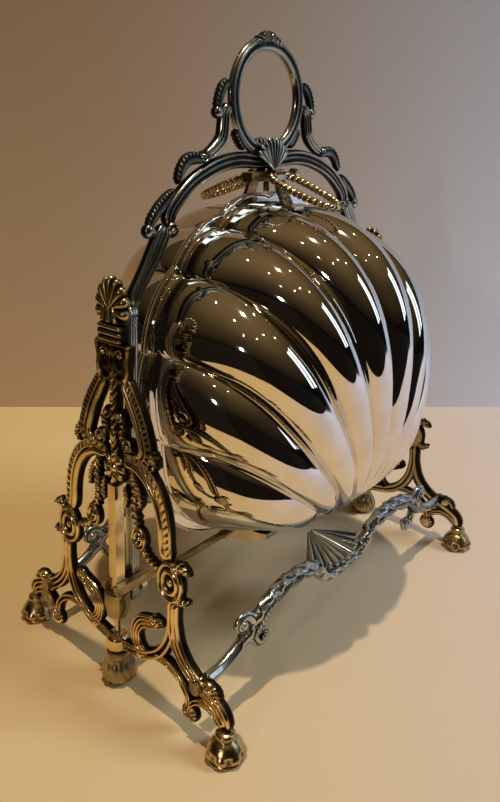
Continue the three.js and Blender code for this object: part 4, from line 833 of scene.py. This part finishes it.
for face, half_turn in (("front", False), ("rear", True)):
    make(f"branch_bar_{face}", bar_parts, cool_cast, "stand", f"stretcher_{face}", None,
         half_turn)
    make(f"scallop_rest_{face}", rest_parts, cool_cast, "stand", f"bowl_rest_{face}", None,
         half_turn)
    make(f"scallop_crest_{face}", crest_parts, shaded_arch_cast, "handle_frame", f"arch_crest_{face}",
         on_handle, half_turn)

# %% [markdown]
# ## The arch
#
# The arch is drawn in x and z, as shares of its half width and of its rise above the legs. It is seen from
# both sides, so its mouldings are on both faces. A hollow band springs over the bowls, and beaded leaves
# lie on it. Sculpted faces would hardly come out alike; a strap that is worked out for both at once does.

# %% The arch
def hollow(rim=0.72, rib=0.35):
    """Two raised rims exp(-((|a| - rim) / 0.2)^2), a hollow between them and a low rib in its middle."""
    return lambda a, s: np.exp(-((np.abs(a) - rim) / 0.2) ** 2) + rib * np.exp(-(a / 0.22) ** 2) + 0 * s


def beaded(pitch=2.4, out=1):
    """A smooth low strip whose outer edge is a row of beads, 0.5 + 0.35 cos(2 pi s / pitch)."""
    def height(a, s):
        a = out * a
        bead = np.clip(1 - ((a - 0.66) / 0.26) ** 2, 0, 1) ** 0.5 * (0.5 + 0.35 * np.cos(2 * pi * s / pitch))
        return 0.5 * np.clip(1 - ((a + 0.3) / 0.6) ** 2, 0, 1) ** 0.5 + bead
    return height


ARCH_HALF, LEG_TOP, ARCH_RISE = 86.64, 182.0, 56.5


def arched(shares):
    """Shares of the arch's half width and of its rise above the legs, in millimetres."""
    return np.array(shares) * [ARCH_HALF, ARCH_RISE] + [0, LEG_TOP]


arch_band = [[-0.02, 0.922], [0.115, 0.942], [0.231, 0.955], [0.346, 0.936], [0.462, 0.886], [0.577, 0.808],
             [0.672, 0.7], [0.732, 0.6], [0.745, 0.51]]
arch_leg = [[0.76, 0.53], [0.8, 0.43], [0.86, 0.29], [0.93, 0.15], [0.98, 0.05], [1, -0.04]]
arch_leaf = [[0.485, 0.965], [0.543, 0.985], [0.6, 0.972], [0.647, 0.903], [0.675, 0.805]]
arch_low_leaf = [[0.693, 0.775], [0.762, 0.69], [0.826, 0.606], [0.872, 0.52]]
two_sided = {"both": True, "back": 1.15, "lift": 1.3}
fine = {"step": 0.4}
arch_half = [
    strap(arched(arch_band), 7.2, hollow(0.68, 0.6), **two_sided),
    strap(arched(arch_leg), 8.4, reeds(4), shares=(0.9, 1, 0.95, 0.8, 0.7, 0.65), **two_sided),
    strap(arched(arch_leaf), 5.8, beaded(1.8), shares=(0.6, 0.9, 1, 0.8, 0.45), **two_sided, **fine),
    strap(arched(arch_low_leaf), 5.6, beaded(1.8), shares=(0.4, 0.9, 1, 0.9, 0.7), **two_sided, **fine),
    boss(arched([0.725, 0.485]), 3.5, 3.5, volute(), **two_sided),
    boss(arched([0.868, 0.494]), 3.1, 3.1, pearl, **two_sided),
    boss(arched([0.495, 0.99]), 2.6, 2.6, volute(-1), **two_sided),
]
make("leafy_arch", arch_half + mirrored(arch_half), shaded_arch_cast, "handle_frame", "handle_arch",
     on_handle)

# %% [markdown]
# ## The ring
#
# The ring is a torus with a channel in each face, scrolls beside it and a leaf cap. Blender has a torus of
# its own, but the channel would have to be cut; here it is a dip in the section's radius.

# %% The ring
RING_HEIGHT, RING_RADIUS, RING_HALF = 261.8, 22.8, 3.1


def ring_part():
    """P(u, v): a ring whose section is r = R (1 - 0.24 exp(-((|sin v| - 1) / 0.09)^2) - a finer groove)."""
    u = np.linspace(0, 2 * pi, 300, endpoint=False)[:, None]
    v = np.linspace(0, 2 * pi, 56, endpoint=False)[None, :]
    channel = 0.24 * np.exp(-((np.abs(np.sin(v)) - 1) / 0.09) ** 2)
    groove = 0.1 * np.exp(-((np.cos(v) - 0.72) / 0.1) ** 2)
    r = RING_HALF * (1 - channel - groove)
    out = RING_RADIUS + r * np.cos(v)
    grid = np.stack([out * np.sin(u), RING_HEIGHT + out * np.cos(u), 0.78 * r * np.sin(v) + 0 * u], axis=-1)
    return skin(grid, np.clip(1 - 3.4 * channel - 6 * groove, 0, 1) + 0 * u, wrap_u=True)


def ringed(shares):
    """Shares of the ring's middle radius, from its middle, in millimetres."""
    return np.array(shares) * RING_RADIUS + [0, RING_HEIGHT]


ring_sides = {"both": True, "back": 1.0, "lift": 1.2}
ring_half = [
    strap(ringed([[1.84, -1.05], [1.6, -0.93], [1.37, -0.72], [1.31, -0.47], [1.28, -0.28], [1.14, -0.12]]),
          5.8, reeds(3), **ring_sides),
    strap(ringed([[1.12, 0.3], [1.3, 0.18], [1.41, -0.02], [1.47, -0.24]]), 4.8, beaded(1.8),
          **ring_sides, **fine),
    boss(ringed([1.46, -0.26]), 2.7, 2.7, pearl, **ring_sides),
    strap(ringed([[0.68, -0.93], [0.84, -0.78], [0.99, -0.56]]), 4.6, beaded(1.8, -1), both=True, back=1.5,
          lift=1.2),
    leaf(ringed([[0.06, 1.05], [0.22, 1.05], [0.42, 0.95]]), 4.6, both=True, back=1.7, lift=1.0),
]
ring_parts = [ring_part(), *ring_half, *mirrored(ring_half),
              boss(ringed([0, 1.115]), 5.0, 2.5, shell_drop, both=True, back=1.6, lift=1.0)]
make("leafy_ring", ring_parts, shaded_arch_cast, "handle_frame", "ring_handle", on_handle)

# %% [markdown]
# ## The handle's legs
#
# Two square bars with three reeds on each face run down inside the supports and slide with the handle. A
# square is a circle whose radius is divided by the greater of |cos| and |sin| of the angle.

# %% Reeded legs
LEG_IN, LEG_FOOT, LEG_MIDDLE, LEG_END = 9.86, 41.6, 110, 181.6


def reeded_leg():
    """A square bar with three reeds on each face, |cos(6 angle)|, drawn in the support's frame."""
    def section(s, angle, total):
        square = 2.5 / np.maximum(np.abs(np.cos(angle)), np.abs(np.sin(angle))) ** 0.92
        rib = np.abs(np.cos(6 * angle))
        return square * (0.86 + 0.12 * rib ** 0.5) + 0 * s, 0.3 + 0.7 * rib + 0 * s
    line = [[LEG_IN, 0, height] for height in (LEG_FOOT, LEG_MIDDLE, LEG_END)]
    return tube(line, section, sides=64, step=4.0)


def from_post(p):
    """From x, y, z in the left support's leaning frame to the object's frame."""
    return on_support(p[:, [1, 2, 0]])


for end, half_turn in (("left", False), ("right", True)):
    make(f"reeded_leg_{end}", [reeded_leg()], cool_cast, "handle_frame", f"handle_leg_{end}",
         from_post, half_turn)

# %% [markdown]
# ## The bowl's form
#
# A bowl's mouth is a superellipse, rounder above its widest height and squarer below, and its depth is the
# third axis of the same form. A sphere that is scaled would be too pointed below, and a superellipse has
# one power to set how square it is.

# %% The bowl's form
HALF_WIDE, RISE, DROP, DEPTH = 81.0, 79.5, 81.5, 78.38
UPPER_POWER, LOWER_POWER, DEPTH_POWER = 2.0, 3.2, 2.4


def outline(turn):
    """The mouth's edge at a turn from straight down: x = a sin^(2/m), z = b cos^(2/m), keeping signs."""
    down = np.cos(turn) > 0
    power = np.where(down, LOWER_POWER, UPPER_POWER)
    x = np.sign(np.sin(turn)) * HALF_WIDE * np.abs(np.sin(turn)) ** (2 / power)
    z = np.where(down, -DROP, RISE) * np.abs(np.cos(turn)) ** (2 / power)
    return x, z


def smooth_form(x, z):
    """Depth and outward normal of the form without flutes, from |x/a|^m + |z/b|^m and the depth power."""
    power = np.where(z < 0, LOWER_POWER, UPPER_POWER)
    reach = np.where(z < 0, DROP, RISE)
    spread = np.abs(x / HALF_WIDE) ** power + np.abs(z / reach) ** power
    inside = np.minimum(1, spread ** (DEPTH_POWER / power))
    depth = DEPTH * (1 - inside) ** (1 / DEPTH_POWER)
    pull = DEPTH_POWER / power * np.maximum(spread, 1e-9) ** (DEPTH_POWER / power - 1)
    normal = np.stack([
        pull * power * np.abs(x / HALF_WIDE) ** (power - 1) * np.sign(x) / HALF_WIDE,
        -DEPTH_POWER * (depth / DEPTH) ** (DEPTH_POWER - 1) / DEPTH,
        pull * power * np.abs(z / reach) ** (power - 1) * np.sign(z) / reach], axis=-1)
    return depth, normal / np.linalg.norm(normal, axis=-1, keepdims=True)


print("a bowl is", 2 * HALF_WIDE, "mm wide,", RISE + DROP, "mm high and", DEPTH, "mm deep")

# %% [markdown]
# ## Lobes
#
# Lines fan out over the bowl from the foot of the mouth. Between two creases the skin swells into a lobe:
# it is pushed in along the normal by a share of the lobe's width, most at the creases. The grid's rows
# follow the fan, so that every crease has a row of its own and stays sharp.

# %% Lobes and creases
CREASES = np.array([0, 11.5, 23.5, 37.5, 53, 77])
RIM_CREASES = CREASES[:-1]
FLUTE, FLUTE_ANGLE, RIM_FLUTE, RIM_POWER, CREST_POWER = 0.34, 13.0, 0.11, 16, 0.66
LOBE_ANGLES, LOBE_WIDTHS = [20, 45, 65, 80], [12.5, 15.0, 22.0, 20.0]
PER_LOBE, CORNER_STEPS = 20, 34


def swell_between(size, creases):
    """sin(pi s) over each lobe between two creases, and a quarter wave from the last crease to the corner."""
    outer = np.clip(np.searchsorted(creases, size, side="right"), 1, len(creases) - 1)
    low, high = creases[outer - 1], creases[outer]
    lobe = np.sin(pi * np.clip((size - low) / (high - low), 0, 1))
    corner = np.cos(0.5 * pi * np.clip(1 - (size - creases[-1]) / (90 - creases[-1]), 0, 1))
    return np.maximum(np.where(size < creases[-1], lobe, corner), 0)


def flute(angle, distance, share):
    """Depth under the smooth form: a lobe's width at this angle times (1 - swell^0.66), less at the rim.

    Returns the depth and the swell, which is 0 on a crease and 1 along a lobe's middle.
    """
    size = np.abs(np.degrees(angle))
    inside, at_rim = swell_between(size, CREASES), swell_between(size, RIM_CREASES)
    near_rim = share ** RIM_POWER
    width = np.radians(np.interp(size, LOBE_ANGLES, LOBE_WIDTHS))
    deep = (FLUTE * width * (1 - near_rim) * (1 - inside ** CREST_POWER)
            + RIM_FLUTE * radians(FLUTE_ANGLE) * near_rim * (1 - at_rim ** CREST_POWER))
    return deep * distance, inside


def crease_turns():
    """The outline's turns at which lines fanned out at the crease angles meet it, read from a fine table."""
    table = np.linspace(pi, 0.01, 20000)
    x, z = outline(table)
    return np.interp(np.radians(CREASES), np.arctan2(x, z + DROP), table)


def fan_turns():
    """Turns round the outline, PER_LOBE in a lobe: each crease is on one, with close rows beside it."""
    creases = crease_turns()
    corner = creases[-1] * (np.arange(1, CORNER_STEPS + 1) / CORNER_STEPS) ** (LOWER_POWER / 2)
    ease = (1 - np.cos(pi * np.arange(1, PER_LOBE + 1) / PER_LOBE)) / 2
    lobes = [creases[k] + (creases[k - 1] - creases[k]) * ease for k in range(len(creases) - 1, 0, -1)]
    side = np.concatenate([corner, *lobes])
    return np.concatenate([side, -side[-2::-1]])


deepest, _ = flute(radians(CREASES[4]), 100.0, 0.5)
print("a crease 100 mm from the foot is", round(float(deepest), 1), "mm deep")

# %% [markdown]
# ## Bowls and flanges
#
# The bowl is one closed skin with a wall of 1.2 mm: out on the outer side, over the rim and back on the
# inner side. A Solidify modifier would thicken it too, but unevenly in the creases. The flange is a flat
# ring that follows the scallops, with a bead along its edge and two ears for the inner cover's pin.

# %% The bowl
WIDEST, MOUTH_PLANE, WALL, ROWS = 137.0, 1.85, 1.2, 84


def bowl_part():
    """P(turn, t): out along the fan on the outer skin, over the rim, and back on the inner skin."""
    turns = fan_turns()
    rim_x, rim_z = outline(turns)
    t = (1 - np.cos(pi * np.arange(ROWS + 1) / ROWS)) / 2
    x = rim_x[:, None] * t
    z = -DROP + (rim_z[:, None] + DROP) * t
    depth, normal = smooth_form(x, z)
    angle = np.arctan2(rim_x, rim_z + DROP)[:, None]
    distance = np.hypot(x, z + DROP)
    drop, swell = flute(angle, distance, t)

    def skinned(inset):
        moved_in = drop + inset
        y = -MOUTH_PLANE - depth - normal[..., 1] * moved_in
        y[:, 0] = y[:, -1] = -MOUTH_PLANE
        px, pz = x - normal[..., 0] * moved_in, WIDEST + z - normal[..., 2] * moved_in
        px[:, 0], pz[:, 0] = 0, WIDEST - DROP + inset
        return np.stack([px, y, pz], axis=-1)

    grid = np.concatenate([skinned(0.0), skinned(WALL)[:, ::-1]], axis=1)
    foot = grid[:1].copy()
    foot[:, :ROWS + 1], foot[:, ROWS + 1:] = grid[0, 0], grid[0, -1]
    grid = np.concatenate([foot, grid, foot])
    worn = np.concatenate([swell * np.ones_like(t), swell * np.ones_like(t)], axis=1)
    return skin(grid, np.concatenate([worn[:1], worn, worn[-1:]]))


print("a bowl has", len(bowl_part()[1]), "quads")

# %% Flange and ears
FLANGE_FRONT, FLANGE_BACK, FLANGE_WIDTH = 0.35, 1.55, 5.5
EAR_HEIGHT, EAR_ASIDE, EAR_BACK, EAR_FRONT = 60.0, 21, -1.2, -6.0


def flange_part():
    """P(turn, across) = outline + normal * reach, with a bead exp(-((across - 0.9) / 0.07)^2) at its edge."""
    turns = fan_turns()
    x, z = outline(turns)
    _, normal = smooth_form(x, z)
    normal = normal[:, [0, 2]] / np.linalg.norm(normal[:, [0, 2]], axis=1, keepdims=True)
    recess, _ = flute(np.arctan2(x, z + DROP), np.hypot(x, z + DROP), 1.0)
    ends = np.array([-recess - WALL, FLANGE_WIDTH - 0.6 * recess])
    on_top, under = 15, 6
    across = np.concatenate([np.linspace(0, 1, on_top), np.linspace(1, 0, under)])
    bead = np.exp(-((across[:on_top] - 0.9) / 0.07) ** 2)
    depth = np.concatenate([FLANGE_BACK - 0.15 + 0.75 * bead, np.full(under, FLANGE_FRONT + 0.05)])
    depth[[0, on_top - 1]] = [FLANGE_BACK - 0.5, FLANGE_BACK - 0.3]
    reach = ends[0][:, None] + (ends[1] - ends[0])[:, None] * across
    grid = np.stack([x[:, None] + normal[:, :1] * reach, -np.broadcast_to(depth, reach.shape),
                     WIDEST + z[:, None] + normal[:, 1:] * reach], axis=-1)
    return skin(grid, 0.8, wrap_u=True)


def ear(side):
    """An ear on the flange for the inner cover's pin: a short strap, stood across the mouth."""
    v, q, r = strap([[EAR_BACK, EAR_HEIGHT], [EAR_FRONT, EAR_HEIGHT]], 6.4, reeds(1), shares=(1, 1),
                    face=-0.55, lift=0.3, back=0.8, step=0.3)
    return np.stack([side * EAR_ASIDE + v[:, 2], v[:, 0], v[:, 1]], axis=1), q, r


print("a flange has", len(flange_part()[1]), "quads")

# %% [markdown]
# ## Pull loops
#
# The pull loops are castings of a rope, two strands twisted round a racetrack, that hang from the bowls'
# straps. Two curves twisted about each other would leave a seam, so one tube has a radius that turns with
# the distance, by a whole number of turns.

# %% Loops, and the shells' pieces
LOOP_SPOT, LOOP_ANGLE = (0, -6.6, 228.4), 19.5
loop_half = [[0, 0], [4.6, 0], [7.1, 2.2], [8.4, 8.6], [8.4, 18.7], [6.6, 29.5], [3.0, 34.9]]
loop_line = [[x, -y, 0] for x, y in [*loop_half, [0, 36]]] + [[-x, -y, 0] for x, y in loop_half[:0:-1]]
ROPE_TURNS, ROPE_RADIUS, PLAIN_RADIUS = 16, 1.75, 1.1


def rope(s, angle, total):
    """Two strands, |cos(angle - 2 pi turns s / total)|, and a plain rod where the loop is hung."""
    twist = np.abs(np.cos(angle - 2 * pi * ROPE_TURNS * s / total))
    near = np.minimum(s, total - s)
    plain_part = np.clip((4.6 - near) / 0.8, 0, 1)
    radius = ROPE_RADIUS * (0.62 + 0.38 * twist ** 0.6) * (1 - plain_part) + PLAIN_RADIUS * plain_part
    return radius, np.clip(twist, 0, 1) * (1 - plain_part) + 0.8 * plain_part


flat_rope = tube(loop_line, rope, sides=28, closed=True, step=0.2, across=(0, 0, 1))
hung_rope = moved(flat_rope, tipped(LOOP_ANGLE), LOOP_SPOT)
for face, half_turn in (("front", False), ("rear", True)):
    body = f"{face}_shell"
    make(f"fluted_bowl_{face}", [bowl_part()], mirror, body, f"bowl_{face}", None,
         half_turn)
    make(f"scalloped_flange_{face}", [flange_part(), ear(1), ear(-1)], mirror, body, f"mouth_flange_{face}",
         None, half_turn)
    make(f"rope_loop_{face}", [hung_rope], gilt, f"{face}_loop", f"pull_loop_{face}", None,
         half_turn)

# %% [markdown]
# ## The plain parts
#
# Rods, forks, collars, leaves, straps, pins, knobs and covers keep their CAD shape, which is plain on the
# real box too, and get their silver here.

# %% CAD parts that stay
golden = silver("plain_gilt_plate", (0.9, 0.72, 0.42), (0.2, 0.14, 0.07), (0.14, 0.34), grain=0.25, wave=0.3,
                tarnish=0.5)
finishes = {"guide_rod": golden, "rod_collar": dark, "stretcher_screw": dark, "guide_fork": dark,
            "hinge_rod": dark, "axle_collar": plain, "catch_block": dark, "catch_bolt": plain,
            "hinge_leaf": plain, "leaf_rivet": plain, "catch_strap": plain, "inner_cover": lining,
            "cover_pin": dark, "cover_knob": plain}
dressed = 0
for name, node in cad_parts.items():
    kind = next((key for key in finishes if name.startswith(key)), None)
    if kind:
        node.data.materials.clear()
        node.data.materials.append(finishes[kind])
        dressed += 1
print(dressed, "CAD parts keep their shape")

# %% [markdown]
# ## Floor and wall
#
# A pale floor and a plain wall behind, both matt. In the photograph their colour drifts from one side to
# the other, so each runs from one colour to another across the view, with a very faint mottle. The drift is
# painted light: warm lamplight at the left and cool daylight at the right. The wall is also brighter towards
# the floor, as painted light bounced off the floor. The camera's heading is needed first, because the wall is
# square to it.

# %% Where the camera stands
LOOK = np.array([0.69803, 0.61572, -0.36556])
EYE = np.array([-0.26912, -0.22691, 0.25102])
ahead = LOOK[:2] / np.linalg.norm(LOOK[:2])
beside = np.array([ahead[1], -ahead[0]])
tilt = np.degrees(np.arcsin(-LOOK[2] / np.linalg.norm(LOOK)))
print(f"the camera looks {tilt:.1f} degrees down")

# %% Matt colours
# DRIFT_FROM and DRIFT_TO bound the painted light's drift across the view; PLAIN_HEIGHT is where the painted
# bounce light ends.
DRIFT_FROM, DRIFT_TO, MOTTLE_SCALE, MOTTLE_SHARE, PLAIN_HEIGHT = -0.2, 0.45, 3.0, 0.12, 0.34


def plain_material(name, left, right, low=1.0, one_sided=False):
    """A matt colour that drifts from `left` to `right` across the view, as painted light, with a very faint
    mottle.

    At the floor it is `low` times what it is at PLAIN_HEIGHT, as painted light bounced off the floor. A
    one-sided wall is clear from behind.
    """
    material = bpy.data.materials.new(name)
    material.use_nodes = True
    nodes, links = material.node_tree.nodes, material.node_tree.links
    shader = nodes["Principled BSDF"]
    shader.inputs["Roughness"].default_value = 0.9
    shader.inputs["Specular IOR Level"].default_value = 0.1
    place, along = nodes.new("ShaderNodeTexCoord"), nodes.new("ShaderNodeVectorMath")
    along.operation = "DOT_PRODUCT"
    along.inputs[1].default_value = (*beside, 0)
    links.new(place.outputs["Object"], along.inputs[0])
    # The drift across the view is painted light, warm at the left and cool at the right.
    painted_light_drift = nodes.new("ShaderNodeMapRange")
    painted_light_drift.interpolation_type = "SMOOTHSTEP"
    painted_light_drift.inputs["From Min"].default_value = DRIFT_FROM
    painted_light_drift.inputs["From Max"].default_value = DRIFT_TO
    links.new(along.outputs["Value"], painted_light_drift.inputs["Value"])
    mottle, shift, ramp = (nodes.new(f"ShaderNode{kind}") for kind in ("TexNoise", "Math", "Mix"))
    mottle.inputs["Scale"].default_value = MOTTLE_SCALE
    links.new(place.outputs["Object"], mottle.inputs["Vector"])
    shift.operation = "MULTIPLY_ADD"
    shift.inputs[1].default_value = MOTTLE_SHARE
    links.new(mottle.outputs["Fac"], shift.inputs[0])
    links.new(painted_light_drift.outputs["Result"], shift.inputs[2])
    ramp.data_type = "RGBA"
    ramp.inputs[6].default_value, ramp.inputs[7].default_value = (*left, 1), (*right, 1)
    links.new(shift.outputs["Value"], ramp.inputs[0])
    # Brighter towards the floor by `low`: painted light bounced off the floor.
    height, glow, lit = (nodes.new(f"ShaderNode{kind}") for kind in ("SeparateXYZ", "MapRange", "VectorMath"))
    links.new(place.outputs["Object"], height.inputs["Vector"])
    links.new(height.outputs["Z"], glow.inputs["Value"])
    for key, value in (("From Min", 0.0), ("From Max", PLAIN_HEIGHT), ("To Min", low), ("To Max", 1.0)):
        glow.inputs[key].default_value = value
    lit.operation = "SCALE"
    links.new(ramp.outputs[2], lit.inputs[0])
    links.new(glow.outputs["Result"], lit.inputs["Scale"])
    links.new(lit.outputs["Vector"], shader.inputs["Base Color"])
    if one_sided:
        clear, mix = nodes.new("ShaderNodeBsdfTransparent"), nodes.new("ShaderNodeMixShader")
        back = nodes.new("ShaderNodeNewGeometry")
        links.new(back.outputs["Backfacing"], mix.inputs[0])
        links.new(shader.outputs[0], mix.inputs[1])
        links.new(clear.outputs[0], mix.inputs[2])
        links.new(mix.outputs[0], nodes["Material Output"].inputs["Surface"])
    return material


# %% [markdown]
# ## Stage
#
# Polished silver shows the room. Two dark flags stand where the table ends in the photograph, so that the
# lobes have their dark eyes. They are seen by reflections alone, and neither shade nor tint the object.

# %% Floor, flags and wall
def stage_plane(name, corners, material):
    """A flat staged plane through four corners, in metres."""
    mesh = bpy.data.meshes.new(name)
    mesh.from_pydata(corners, [], [(0, 1, 2, 3)])
    mesh.materials.append(material)
    plane = bpy.data.objects.new(name, mesh)
    bpy.context.collection.objects.link(plane)
    return plane


FLOOR_HALF, WALL_HALF, WALL_HIGH, WALL_AWAY = 6, 4, 0.5, 0.6236
foot_of_wall = EYE[:2] + ahead * WALL_AWAY
FLAG_HIGH, FRONT_FLAG_AWAY, LEFT_FLAG_X = 0.24, -0.42, -0.4
flag_matt = plain_material("flag_matt", (0.012, 0.009, 0.007), (0.008, 0.006, 0.006))
front_ends = [ahead * FRONT_FLAG_AWAY + beside * side for side in (3, -3)]
left_ends = [(LEFT_FLAG_X, -1.2), (LEFT_FLAG_X, 0.9)]
for name, (start, end) in (("front_flag", front_ends), ("left_flag", left_ends)):
    flag = stage_plane(name, [(*start, 0), (*end, 0), (*end, FLAG_HIGH), (*start, FLAG_HIGH)], flag_matt)
    flag.visible_camera = flag.visible_shadow = flag.visible_diffuse = False
corners = [(x * FLOOR_HALF, y * FLOOR_HALF, 0) for x, y in ((-1, -1), (1, -1), (1, 1), (-1, 1))]
# The floor's colour runs from warm to cool across the view: painted lamplight and daylight.
stage_plane("floor", corners, plain_material("floor_matt", (0.575, 0.41, 0.175), (0.455, 0.4, 0.42)))
start, end = [foot_of_wall + beside * side for side in (-WALL_HALF, WALL_HALF)]
# The wall's colour drifts the same way as painted light, and is 1.9 times as bright at the floor as painted
# bounce light.
stage_plane("wall", [(*start, 0), (*end, 0), (*end, WALL_HIGH), (*start, WALL_HIGH)],
            plain_material("wall_matt", (0.26, 0.175, 0.093), (0.36, 0.4, 0.49), low=1.9, one_sided=True))
print("the wall stands", round(float(np.linalg.norm(foot_of_wall)), 3), "m from the middle of the object")

# %% [markdown]
# ## Light
#
# The key is nearly overhead and small, for the short hard shadow. Two panes stand for the window, seven
# small lamps sparkle on the lobes, and one warm lamp glows at the left. A large fill lifts the shadows, and
# isn't mirrored, because a real room has no such bright square.

# %% Lamps
def lamp(name, place, target, power, size, colour, height=None):
    """An area lamp at `place` facing `target`, in metres; square, or oblong where `height` is given."""
    data = bpy.data.lights.new(name, "AREA")
    data.energy, data.size, data.color = power, size, colour
    if height:
        data.shape, data.size_y = "RECTANGLE", height
    made = bpy.data.objects.new(name, data)
    bpy.context.collection.objects.link(made)
    made.location = place
    made.rotation_euler = (Vector(target) - Vector(place)).to_track_quat("-Z", "Y").to_euler()
    return made


MIDDLE = (0, 0, 0.1)
WARM, DAYLIGHT = (1.0, 0.84, 0.66), (0.72, 0.88, 1.0)
WINDOW_PANES, PANE_HEIGHT = [(0.58, -1.22), (0.82, -1.08)], 0.85
STARS, STAR_HEIGHT = [(-0.65, -0.1), (0.5, -0.2), (-0.1, -0.75), (-0.7, -0.8), (0.45, -0.85), (-1.2, -0.5),
                      (-0.4, 0.4)], 1.6
lamp("key", (-0.05, -0.14, 1.5), MIDDLE, power=13.6, size=0.035, colour=WARM)
for i, (x, y) in enumerate(WINDOW_PANES):
    lamp(f"window_{i}", (x, y, PANE_HEIGHT), MIDDLE, power=1.0, size=0.2, colour=DAYLIGHT, height=0.85)
fill = lamp("fill", (0.9, -1.3, 1.1), MIDDLE, power=26, size=0.7, colour=DAYLIGHT)
fill.visible_glossy = False
lamp("left_glow", (-1.25, -0.3, 0.6), MIDDLE, power=2, size=0.07, colour=WARM)
for i, (x, y) in enumerate(STARS):
    lamp(f"star_{i}", (x, y, STAR_HEIGHT), (x, y, 0), power=0.3, size=0.02, colour=WARM)

# %% [markdown]
# ## The room
#
# The world is the dim brown room that the silver mirrors where no lamp is: nearly black at the horizon and
# warmer overhead, by the height of the direction looked in.

# %% World
ROOM_DARK, ROOM_DIM, ROOM_ABOVE = (0.006, 0.0045, 0.003, 1), (0.085, 0.057, 0.026, 1), (0.26, 0.17, 0.07, 1)
DARK_UP_TO, DIM_AT, ROOM_STRENGTH = 0.2, 0.62, 0.6
world = bpy.data.worlds.new("room")
bpy.context.scene.world = world
world.use_nodes = True
tree = world.node_tree
heading, height = tree.nodes.new("ShaderNodeTexCoord"), tree.nodes.new("ShaderNodeSeparateXYZ")
room = tree.nodes.new("ShaderNodeValToRGB")
ramp = room.color_ramp.elements
ramp[0].position, ramp[0].color = DARK_UP_TO, ROOM_DARK
ramp[1].position, ramp[1].color = 1.0, ROOM_ABOVE
ramp.new(DIM_AT).color = ROOM_DIM
tree.links.new(heading.outputs["Generated"], height.inputs["Vector"])
tree.links.new(height.outputs["Z"], room.inputs["Fac"])
tree.links.new(room.outputs["Color"], tree.nodes["Background"].inputs["Color"])
tree.nodes["Background"].inputs["Strength"].default_value = ROOM_STRENGTH
print("the room is strongest overhead:", [round(v * ROOM_STRENGTH, 3) for v in ROOM_ABOVE[:3]])

# %% [markdown]
# ## Camera
#
# The camera stands where the photograph was taken. Its focal length was found in pixels of the picture, and
# Blender asks for it in millimetres of the sensor.

# %% Camera
FOCAL_PIXELS, PICTURE_HIGH, SENSOR_HIGH = 704.76, 802, 36.0
camera_data = bpy.data.cameras.new("camera")
camera_data.sensor_fit = "VERTICAL"
camera_data.sensor_height = SENSOR_HIGH
camera_data.lens = FOCAL_PIXELS * SENSOR_HIGH / PICTURE_HIGH
camera = bpy.data.objects.new("camera", camera_data)
bpy.context.collection.objects.link(camera)
camera.location = EYE
camera.rotation_euler = Vector(LOOK).to_track_quat("-Z", "Y").to_euler()
bpy.context.scene.camera = camera
bpy.context.scene.view_settings.view_transform = "Standard"
print("lens:", round(camera_data.lens, 2), "mm")

# %% Sizes and finish
count = sum(len(piece.data.polygons) for piece in pieces)
print("made", len(pieces), "pieces with", count, "faces")
